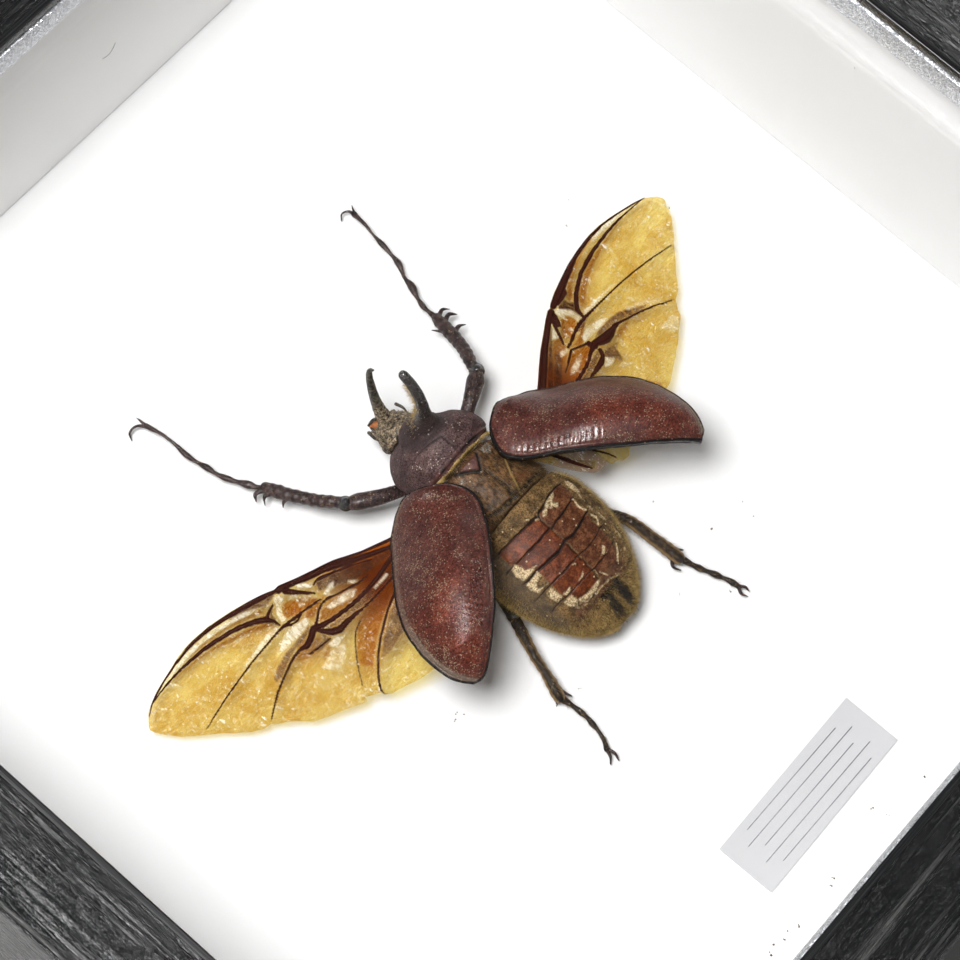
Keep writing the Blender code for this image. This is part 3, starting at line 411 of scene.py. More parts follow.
# Coloured fields of the film as outlines of (u, v), each with its strength
WING_FIELDS = {
    "left": {
        "amber": [
            (0.9, [
                (25.3, 4.9), (25.8, 6.2), (26.9, 7.0), (28.2, 7.9), (29.2, 7.8), (29.9, 6.8), (29.8, 6.3),
                (28.2, 5.7), (26.5, 5.2),
            ]),
            (0.75, [
                (31.4, 6.9), (31.9, 8.0), (33.5, 8.9), (35.5, 9.9), (38.5, 11.0), (41.5, 11.8),
                (46.0, 12.2), (41.0, 11.4), (38.0, 10.5), (35.0, 9.1), (32.5, 7.6),
            ]),
            (0.8, [
                (23.0, 4.2), (24.5, 4.6), (27.5, 5.0), (28.5, 4.6), (27.4, 3.8), (26.4, 4.2), (24.5, 4.5),
            ]),
            (0.7, [
                (21.0, 2.4), (24.5, 3.9), (26.2, 3.6), (27.5, 2.9), (26.0, 1.9), (22.0, 1.2), (19.5, 1.3),
            ]),
            (0.75, [
                (17.5, -0.9), (20.0, -0.9), (24.0, -0.8), (25.0, -1.5), (27.0, -3.2), (28.5, -5.0),
                (27.5, -6.4), (24.5, -4.4), (21.0, -2.9), (18.5, -2.2),
            ]),
            (0.6, [
                (31.4, 9.3), (33.0, 10.1), (36.0, 11.4), (40.0, 12.3), (44.0, 12.9), (40.0, 12.7),
                (36.0, 11.8), (33.0, 10.7), (31.2, 9.8),
            ]),
            (0.6, [(31.2, 3.2), (29.0, 1.4), (30.5, 0.2), (32.5, 0.9), (33.5, 1.8)]),
            (0.5, [(29.0, -0.2), (30.5, -0.4), (31.0, -0.9), (29.8, -1.1)]),
        ],
        "brown": [
            (0.85, [
                (12.0, 0.6), (13.5, 1.4), (18.0, 3.5), (21.5, 5.6), (23.8, 6.6), (24.4, 5.6), (23.2, 4.7),
                (22.0, 3.9), (20.3, 2.9), (17.0, 1.9),
            ]),
            (0.6, [
                (14.0, 0.4), (18.0, 0.3), (22.0, 0.5), (26.0, 1.2), (27.6, 1.7), (27.3, 1.2), (25.0, 0.5),
                (22.0, -0.2), (18.0, -0.5), (14.0, -0.6),
            ]),
            (0.75, [
                (18.0, -2.6), (21.0, -3.6), (24.0, -5.2), (26.0, -6.6), (24.5, -6.9), (22.0, -6.6),
                (20.0, -6.2), (17.0, -4.0),
            ]),
            (1.0, [
                (29.5, 9.1), (31.2, 8.7), (32.2, 9.2), (33.5, 9.9), (34.0, 9.6), (32.6, 8.7), (31.7, 7.6),
                (31.3, 6.6), (31.0, 7.4), (30.7, 8.2),
            ]),
            (0.75, [
                (28.8, 3.5), (31.0, 3.45), (33.5, 3.4), (35.5, 3.0), (37.0, 2.3), (37.1, 1.8),
                (36.0, 1.8), (34.3, 2.4), (32.5, 2.8), (29.5, 2.9),
            ]),
            (0.9, [
                (28.3, 9.7), (30.5, 9.6), (31.3, 10.2), (33.0, 11.0), (35.0, 11.9), (33.0, 12.0),
                (30.0, 11.0), (28.3, 10.3),
            ]),
            (0.85, [
                (28.4, 1.4), (29.0, 0.9), (31.0, 1.0), (32.4, 1.7), (31.5, 1.2), (30.0, 0.2), (28.3, 0.0),
            ]),
        ],
        # Pale: cream-white patches, partly the film's own pale folds and partly painted highlights
        "pale": [
            (0.9, [
                (21.2, 1.9), (22.2, 1.5), (25.3, 2.8), (25.5, 3.5), (24.5, 3.3), (22.8, 2.9), (21.8, 2.6),
            ]),
            (1.0, [(24.3, 6.8), (24.8, 7.6), (25.5, 8.3), (25.9, 8.3), (25.4, 7.4), (24.8, 6.7)]),
            (1.0, [(26.3, 7.3), (27.3, 7.6), (27.9, 8.0), (27.2, 8.0), (26.4, 7.6)]),
            (0.9, [
                (28.2, 9.3), (28.9, 9.5), (29.6, 8.5), (30.3, 7.8), (30.8, 6.5), (30.0, 6.3), (29.8, 7.3),
                (29.0, 8.2), (28.2, 8.4),
            ]),
            (0.9, [(22.3, 4.9), (23.0, 5.1), (24.4, 4.9), (24.3, 4.4), (23.0, 4.35)]),
            (1.0, [(31.5, 6.3), (31.8, 6.9), (34.0, 6.9), (37.0, 6.6), (39.0, 6.3), (36.0, 6.2)]),
            (1.0, [
                (28.2, 3.8), (28.2, 4.6), (30.0, 5.0), (31.5, 5.2), (33.0, 4.7), (34.0, 4.2), (33.0, 3.7),
                (30.0, 3.6),
            ]),
            (0.85, [
                (31.3, 10.2), (32.5, 11.0), (34.0, 11.7), (36.0, 12.3), (38.0, 12.9), (41.0, 13.3),
                (45.0, 13.1), (47.5, 12.7), (44.0, 12.75), (40.0, 12.6), (37.0, 12.1), (34.5, 11.2),
                (32.5, 10.3),
            ]),
            (0.7, [(26.8, 5.9), (27.3, 6.7), (27.7, 6.2), (27.2, 5.7)]),
            (0.7, [(25.8, 6.0), (26.2, 6.8), (26.9, 6.5), (26.4, 5.8)]),
            (0.9, [(26.7, -0.9), (27.6, -0.1), (29.0, -0.05), (28.9, -0.8), (28.1, -1.15)]),
            (0.8, [(20.1, 2.5), (21.0, 3.5), (21.4, 3.3), (20.7, 2.5)]),
            (0.7, [(34.2, 8.8), (36.5, 9.2), (37.8, 9.9), (35.5, 9.2)]),
            (0.9, [(17.2, -0.1), (19.6, 0.0), (19.6, 0.3), (17.2, 0.25)]),
            (0.9, [(29.6, 1.9), (30.6, 1.6), (31.2, 2.0), (30.4, 2.3)]),
            (0.6, [(27.3, -1.5), (29.5, -0.9), (32.0, -1.4), (31.0, -3.2), (29.2, -3.0)]),
        ],
        "gold": [
            (1.0, [
                (19.0, -6.0), (22.0, -6.5), (26.0, -6.9), (28.6, -9.0), (29.4, -10.3), (26.0, -12.0),
                (22.0, -13.2), (17.0, -13.2),
            ]),
            (0.6, [(36.0, 7.2), (41.0, 8.0), (47.0, 9.6), (48.0, 11.6), (42.0, 11.4), (38.0, 10.0)]),
            (0.7, [(42.0, 12.4), (47.0, 12.6), (49.5, 12.2), (45.0, 13.3), (42.0, 13.5)]),
        ],
    },
    "right": {
        "amber": [
            (0.9, [
                (25.2, 4.3), (26.0, 5.3), (27.2, 6.3), (28.4, 6.1), (28.8, 5.3), (28.7, 4.5), (27.5, 4.1),
                (26.0, 3.6),
            ]),
            (0.9, [
                (20.8, -0.6), (21.2, 0.4), (23.3, 1.5), (24.5, 2.1), (26.4, 1.4), (26.8, 0.7),
                (25.5, 0.0), (23.5, -0.7), (21.5, -1.1),
            ]),
            (0.8, [
                (30.3, 7.2), (31.5, 7.5), (32.5, 8.5), (34.5, 9.6), (38.0, 10.7), (42.0, 11.2),
                (38.0, 11.1), (34.0, 10.0), (31.8, 8.9), (30.6, 8.0),
            ]),
            (0.75, [
                (30.6, 5.4), (32.0, 6.9), (34.0, 8.0), (37.0, 9.0), (41.0, 9.6), (45.0, 9.9), (41.0, 9.2),
                (37.0, 8.3), (34.0, 7.0), (32.0, 5.7),
            ]),
            (0.7, [
                (24.0, -3.2), (26.5, -5.2), (28.0, -7.6), (29.5, -10.0), (28.6, -10.4), (26.0, -7.2),
                (23.5, -4.5),
            ]),
            (0.8, [
                (25.0, 2.6), (26.5, 2.6), (28.5, 3.6), (30.0, 3.9), (28.0, 2.9), (26.8, 1.9), (26.0, 1.9),
            ]),
            (0.6, [(30.5, -0.8), (32.5, -0.4), (34.0, -0.5), (33.0, -1.1), (31.0, -1.4)]),
            (0.8, [
                (21.5, 2.6), (22.5, 3.9), (24.0, 5.0), (25.0, 4.6), (24.6, 3.4), (23.5, 2.2), (22.0, 1.7),
            ]),
        ],
        "brown": [
            (0.75, [
                (15.0, -1.4), (17.0, -0.6), (19.2, 1.2), (22.3, 3.4), (23.0, 3.4), (22.4, 2.2),
                (20.5, 0.9), (18.5, -0.8), (16.0, -1.8),
            ]),
            (0.95, [
                (15.0, -0.8), (17.0, 0.6), (20.0, 2.8), (23.0, 5.0), (25.7, 6.8), (25.2, 6.2),
                (22.5, 4.0), (19.5, 1.6), (17.5, -0.1),
            ]),
            (0.75, [
                (19.0, -1.7), (22.0, -1.6), (25.0, -0.8), (27.0, -0.4), (27.0, -0.9), (25.0, -1.6),
                (22.5, -2.2), (20.0, -2.2),
            ]),
            (0.85, [
                (27.0, -1.0), (28.5, -1.2), (30.2, -1.6), (29.2, -2.0), (29.0, -2.8), (28.3, -3.9),
                (28.0, -3.0), (27.3, -2.2),
            ]),
            (0.85, [
                (28.3, 1.0), (30.0, 1.5), (32.5, 1.5), (34.0, 1.2), (35.5, 0.4), (36.5, -0.3),
                (37.5, -0.9), (36.3, -0.9), (34.5, -0.2), (32.5, 0.5), (30.5, 0.8),
            ]),
            (1.0, [
                (28.5, 7.5), (29.3, 8.4), (30.1, 8.2), (30.1, 7.3), (30.7, 6.7), (31.4, 6.9), (30.6, 5.9),
                (30.2, 4.6), (29.7, 4.6), (29.6, 5.8), (29.2, 6.6),
            ]),
            (0.8, [
                (10.8, -7.5), (11.5, -9.0), (12.5, -10.2), (13.2, -10.8), (12.0, -11.5), (11.6, -10.9),
            ]),
            (0.8, [(27.3, 3.5), (28.5, 4.3), (29.6, 4.4), (30.2, 3.9), (28.8, 3.3), (28.0, 3.1)]),
        ],
        "dark": [
            (0.9, [(26.0, 6.9), (27.6, 8.3), (27.5, 7.2), (27.0, 6.2), (26.5, 5.6), (26.0, 6.0)]),
            (0.95, [
                (26.6, 1.6), (27.5, 1.1), (29.0, 0.9), (30.5, 0.7), (32.0, 0.5), (33.0, 0.1),
                (31.5, -0.2), (30.5, -0.6), (29.4, -0.8), (28.5, -0.5), (27.8, 0.0), (27.2, -0.2),
                (26.8, 0.5),
            ]),
            (0.8, [
                (28.3, 8.9), (29.5, 9.4), (31.0, 9.3), (31.6, 8.9), (31.2, 8.2), (30.0, 8.0), (28.8, 7.9),
            ]),
        ],
        # Pale: cream-white patches, partly the film's own pale folds and partly painted highlights
        "pale": [
            (0.8, [
                (27.7, 8.2), (28.0, 7.7), (28.5, 7.4), (29.1, 6.7), (29.6, 5.8), (29.6, 4.4), (28.7, 4.4),
                (28.8, 5.4), (28.4, 6.2), (27.7, 6.4), (27.5, 6.9),
            ]),
            (0.75, [(24.0, 5.2), (25.3, 6.3), (25.8, 6.3), (25.2, 5.3), (24.5, 4.8)]),
            (0.8, [(22.6, 2.6), (23.2, 3.3), (24.3, 3.1), (24.3, 2.5), (23.4, 2.4)]),
            (0.8, [
                (21.3, -0.1), (22.2, 0.5), (23.8, 0.9), (25.0, 1.0), (24.6, 0.4), (23.2, -0.2),
                (22.0, -0.3),
            ]),
            (1.0, [(30.2, 4.3), (30.4, 4.9), (32.5, 4.9), (35.0, 4.7), (37.0, 4.5), (34.0, 4.35)]),
            (1.0, [
                (26.8, 1.7), (27.2, 2.4), (28.4, 2.9), (30.0, 2.8), (31.6, 2.3), (32.2, 1.75),
                (30.0, 1.6),
            ]),
            (1.0, [(25.8, -2.6), (26.6, -2.1), (27.5, -2.3), (27.8, -2.9), (27.0, -3.2), (26.2, -2.9)]),
            (0.8, [(27.4, -4.0), (28.6, -4.2), (28.5, -4.9), (27.8, -4.9)]),
            (0.9, [
                (40.0, 10.9), (42.0, 11.35), (44.5, 11.1), (47.0, 10.5), (49.0, 10.1), (46.0, 10.4),
                (43.0, 10.6),
            ]),
            (0.7, [(25.7, 4.0), (25.8, 4.8), (26.2, 4.5), (26.1, 3.8)]),
            (0.8, [(26.8, 3.9), (26.9, 4.7), (27.4, 4.6), (27.4, 3.9)]),
            (0.6, [(36.0, -4.4), (37.2, -4.5), (38.8, -4.6), (39.3, -5.3), (37.6, -6.6), (36.6, -5.8)]),
            (0.5, [(35.0, 0.9), (37.2, 0.1), (39.8, -1.9), (39.4, -2.2), (37.0, -0.4), (35.0, 0.5)]),
        ],
        "gold": [
            (1.0, [
                (44.0, 7.0), (47.0, 7.6), (51.0, 8.6), (52.0, 8.0), (51.4, 6.0), (49.8, 5.4), (47.0, 5.9),
                (45.0, 5.3), (43.5, 5.2),
            ]),
            (0.9, [(44.0, 3.2), (46.8, 2.3), (47.2, 1.6), (45.5, 0.5), (44.2, 1.0)]),
            (0.8, [
                (8.0, -6.5), (13.0, -7.5), (19.0, -12.0), (18.0, -13.8), (15.0, -13.4), (12.0, -12.6),
                (9.0, -9.5),
            ]),
            (0.7, [(30.5, -8.6), (34.5, -8.2), (33.0, -9.8), (30.3, -11.0)]),
            (0.6, [(35.0, 5.0), (40.0, 6.0), (42.0, 9.2), (37.0, 8.4), (33.0, 6.4)]),
        ],
    },
}

# The shield: flecks, and where its plateau ends; the plateau is painted paler, partly its own tone and
# partly painted light on the flank that faces the lamp
SHIELD_SHIFT = (-0.45, 0.0, 0.0)
SHIELD_FLECKS = [
    [(-5.6, 6.0, 0.3), (-5.0, 4.8, 0.3)],
    [(-2.1, 8.5, 0.25), (-2.1, 8.2, 0.25)],
    [(1.6, 6.6, 0.2), (1.6, 6.3, 0.2)],
    [(2.8, 5.5, 0.35), (3.0, 5.2, 0.3)],
    [(-3.8, 4.2, 0.7), (-3.0, 4.6, 0.6)],
]
SHIELD_PLATEAU = [(-0.6, 2.5), (-0.6, 5.5), (-2.5, 6.1), (-5.0, 6.5), (-7.2, 6.0), (-7.2, 2.5)]
SHIELD_CREASE = [
    (-0.55, 2.6, 0.16), (-0.6, 4.2, 0.2), (-0.6, 5.5, 0.16), (-2.5, 6.15, 0.12), (-4.5, 6.5, 0.08),
]

# The ring of the shield that the fringe of hair follows
FRINGE_RING = PRONOTUM_RINGS[7]

# The head: its right eye's middle, size and the radius of the groove round it, and its small
# parts as lines of (u, v, h, radius)
EYE = (2.4, 11.55, 5.9)
EYE_SIZE = (0.75, 0.75, 1.3)
EYE_RING = 0.95
PALP = [(-0.9, 14.2, 4.6, 0.6), (-1.4, 15.0, 4.6, 0.72), (-1.9, 15.5, 4.4, 0.4)]
MOUTH_HOOK = [(-0.6, 15.5, 4.8, 0.2), (-1.2, 15.9, 4.8, 0.24), (-2.2, 15.9, 4.6, 0.16)]
FEELERS = [
    [(-2.6, 12.8, 5.0, 0.2), (-3.05, 13.3, 5.2, 0.16), (-3.25, 13.8, 5.3, 0.2), (-3.2, 15.0, 5.35, 0.26)],
    [(-2.3, 13.0, 4.9, 0.18), (-2.55, 13.5, 5.1, 0.14), (-2.5, 14.3, 5.2, 0.16), (-2.45, 15.2, 5.2, 0.18)],
    [(2.3, 12.8, 5.0, 0.2), (2.6, 13.4, 5.2, 0.14), (2.65, 14.0, 5.3, 0.2), (2.4, 15.0, 5.35, 0.24)],
]

# The back between the wings, as outlines of (u, v) or lines of (u, v, half width)
SCUTELLUM = [(-2.7, 0.9), (1.05, 0.9), (-0.35, -1.0)]
SCUTELLUM_EDGE = [(-2.85, 1.1, 0.2), (-0.4, -1.25, 0.2), (1.25, 0.9, 0.2)]
BACK_GREY = [(1.9, 1.0), (3.6, 1.1), (3.5, 0.1), (2.6, -0.4), (2.1, 0.1)]
BACK_GROOVE = [(0.1, -1.6, 0.12), (0.25, -3.2, 0.15), (0.15, -5.4, 0.25), (-0.1, -6.6, 0.45)]
BACK_RIDGE = [(0.4, -1.5, 0.16), (0.5, -3.5, 0.16), (0.65, -7.0, 0.2)]
BACK_STREAK = [(3.2, -2.4, 0.1), (2.0, -4.4, 0.12), (0.9, -6.9, 0.12)]
BACK_FLUSH = [(2.0, -4.9), (4.6, -5.0), (5.2, -5.8), (3.6, -6.5), (2.0, -6.3)]
BACK_SEAM = [
    (-3.9, -5.9, 0.26), (-3.0, -6.45, 0.34), (-0.9, -6.8, 0.36), (0.6, -7.15, 0.4), (3.0, -6.95, 0.4),
    (5.0, -6.8, 0.38), (7.0, -6.5, 0.3),
]

# Abdomen: rear edges of its plates on either side of the middle line, as (u, v, half width)
ABDOMEN_SHIFT = (-0.3, 0.0, 0.0)
PLATE_EDGES = [
    [(-7.2, -9.8, 0.1), (-4.0, -10.1, 0.12), (-1.0, -10.4, 0.16), (-0.1, -10.6, 0.2)],
    [(-7.3, -12.3, 0.08), (-5.5, -12.6, 0.1), (-3.0, -12.8, 0.12), (-0.1, -12.8, 0.1)],
    [
        (-7.6, -14.8, 0.1), (-5.0, -15.2, 0.2), (-3.0, -15.4, 0.24), (-1.5, -15.6, 0.24),
        (-0.1, -15.3, 0.2),
    ],
    [(-7.4, -17.3, 0.06), (-5.0, -17.6, 0.1), (-3.0, -17.8, 0.12), (-0.1, -17.8, 0.1)],
    [(-6.5, -19.7, 0.1), (-5.0, -20.0, 0.12), (-3.0, -20.2, 0.1), (-0.1, -20.2, 0.08)],
    [
        (-0.1, -11.0, 0.2), (0.4, -10.4, 0.16), (1.5, -10.2, 0.14), (3.0, -9.8, 0.1), (5.0, -9.6, 0.12),
        (6.4, -9.7, 0.1),
    ],
    [(-0.1, -13.0, 0.1), (1.5, -12.8, 0.14), (3.5, -12.6, 0.14), (5.6, -12.2, 0.1)],
    [(-0.1, -15.3, 0.2), (1.2, -15.5, 0.24), (2.5, -15.4, 0.24), (4.0, -15.1, 0.2), (5.4, -14.8, 0.14)],
    [(-0.1, -17.9, 0.1), (2.0, -18.0, 0.1), (3.5, -17.8, 0.1), (5.4, -17.4, 0.08)],
    [(-0.1, -20.3, 0.1), (2.0, -20.3, 0.1), (3.5, -20.2, 0.08), (5.0, -19.8, 0.06)],
]
PLATES_LEFT = [
    (-6.9, -10.0), (-4.0, -10.1), (-0.2, -10.5), (-0.05, -12.8), (-0.1, -15.5), (-0.1, -18.0),
    (-0.1, -20.2), (-0.3, -21.7), (-1.8, -21.9), (-3.8, -21.6), (-4.2, -20.6), (-5.2, -19.8),
    (-5.3, -18.0), (-5.3, -15.4), (-6.3, -14.4), (-6.4, -12.8), (-6.9, -12.0),
]
PLATES_RIGHT = [
    (0.0, -11.0), (0.6, -10.5), (3.0, -10.0), (5.2, -9.7), (6.2, -9.9), (6.1, -11.2), (5.6, -12.4),
    (5.1, -13.6), (5.2, -15.0), (4.9, -16.2), (5.0, -18.0), (4.8, -19.6), (4.6, -20.8), (3.6, -21.9),
    (1.3, -22.3), (0.2, -22.0),
]
FLAKES = [
    [
        (-7.3, -12.5), (-6.6, -12.4), (-6.2, -13.2), (-6.3, -13.9), (-5.6, -14.3), (-4.8, -14.7),
        (-6.0, -14.8), (-7.2, -14.6), (-7.5, -13.5),
    ],
    [
        (-7.4, -15.2), (-5.3, -15.3), (-5.3, -16.0), (-6.4, -16.1), (-6.8, -16.6), (-6.1, -17.1),
        (-5.4, -17.2), (-7.0, -17.0), (-7.5, -16.0),
    ],
    [(-6.5, -18.0), (-5.6, -17.9), (-5.4, -18.8), (-5.3, -19.6), (-6.1, -19.6), (-6.4, -18.8)],
    [(-5.1, -19.5), (-3.8, -19.6), (-3.9, -19.9), (-4.7, -20.0)],
    [(-5.6, -20.3), (-4.3, -20.4), (-4.1, -21.5), (-4.6, -21.8), (-5.5, -20.9)],
    [
        (-3.9, -21.4), (-3.0, -21.7), (-1.8, -21.8), (-0.5, -21.7), (0.0, -21.9), (-0.6, -22.2),
        (-2.2, -22.3), (-3.4, -22.1), (-4.0, -21.8),
    ],
    [(-2.4, -19.9), (-1.8, -19.8), (-1.2, -19.6), (-1.3, -19.8), (-1.8, -20.0)],
    [
        (1.8, -10.4), (2.6, -10.1), (4.3, -9.9), (3.9, -10.3), (3.0, -10.7), (3.4, -11.4), (2.9, -11.8),
        (2.2, -11.3), (1.8, -10.8),
    ],
    [(0.4, -11.2), (1.0, -10.7), (1.6, -10.6), (1.7, -11.0), (0.9, -11.4)],
    [(6.6, -10.5), (7.0, -9.9), (7.5, -10.2), (7.6, -11.2), (7.2, -12.4), (6.8, -11.9), (6.7, -11.0)],
    [(2.3, -19.9), (3.5, -19.2), (3.6, -19.6), (2.7, -20.1)],
]
FLAKE_FOLDS = [
    [(5.5, -12.4, 0.12), (5.1, -13.6, 0.16), (5.3, -14.6, 0.12)],
    [(5.6, -15.5, 0.14), (5.9, -16.2, 0.18), (5.2, -17.0, 0.12)],
    [(5.4, -20.3, 0.1), (4.7, -21.2, 0.14), (3.7, -21.9, 0.1)],
    [(0.6, -21.2, 0.08), (1.2, -22.2, 0.08)],
    [(-0.5, -10.8, 0.14), (-0.2, -11.0, 0.14)],
    [(-1.4, -9.9, 0.1), (-1.2, -10.1, 0.1)],
    [(0.15, -20.6, 0.07), (0.2, -21.2, 0.07)],
    [(-1.5, -18.1, 0.1), (-1.2, -18.3, 0.1)],
]
REAR_FOLDS = [
    [
        (-5.2, -21.2, 0.14), (-4.4, -22.3, 0.18), (-3.0, -22.9, 0.18), (-1.0, -22.6, 0.14),
        (1.0, -22.7, 0.14), (2.6, -23.1, 0.14),
    ],
    [(-4.2, -21.9, 0.1), (-3.0, -22.45, 0.1), (-1.2, -22.3, 0.08)],
]
SIDE_FOLD = [
    (6.9, -12.4, 0.2), (6.2, -14.0, 0.2), (6.6, -16.0, 0.2), (7.0, -18.5, 0.2), (6.8, -20.0, 0.2),
    (6.0, -21.5, 0.2),
]
TUFTS = [(-0.6, -25.3), (1.5, -24.9)]

# Specks on the walls (x, y, z, size) and a hair (x, y, z, radius)
WALL_DUST = [
    (-3.0, 70.45, 19.9, 0.16), (14.8, 70.45, 18.3, 0.14), (71.0, -4.2, 45.0, 0.16),
    (71.0, 0.5, 28.1, 0.14),
]
WALL_HAIR = [
    (9.8, 70.4, 37.6, 0.05), (9.3, 70.35, 36.9, 0.06), (8.4, 70.35, 36.3, 0.06), (7.4, 70.4, 36.5, 0.05),
]

# Dust fallen on the board as (x, y, size), in the frame's axes
BOARD_DUST = [
    (-16.8, -70.1, 0.5), (-15.6, -69.7, 0.35), (-14.4, -70.3, 0.45), (-13.0, -69.9, 0.3),
    (-11.6, -70.6, 0.4), (-4.5, -70.2, 0.35), (-3.5, -70.1, 0.3), (7.3, -68.0, 0.3), (8.0, -70.0, 0.3),
    (15.6, -70.3, 0.3), (-20.3, -18.7, 0.4), (-20.9, -19.4, 0.3), (-19.6, -19.5, 0.25),
    (-6.6, -28.5, 0.25), (-10.4, -27.8, 0.3), (20.6, -18.9, 0.25), (22.9, -27.0, 0.35),
    (28.9, -27.8, 0.2), (28.3, -30.3, 0.3), (12.7, -30.1, 0.2), (18.0, -34.6, 0.3), (47.2, 19.0, 0.2),
    (43.8, 16.7, 0.25), (56.2, 8.0, 0.25),
]

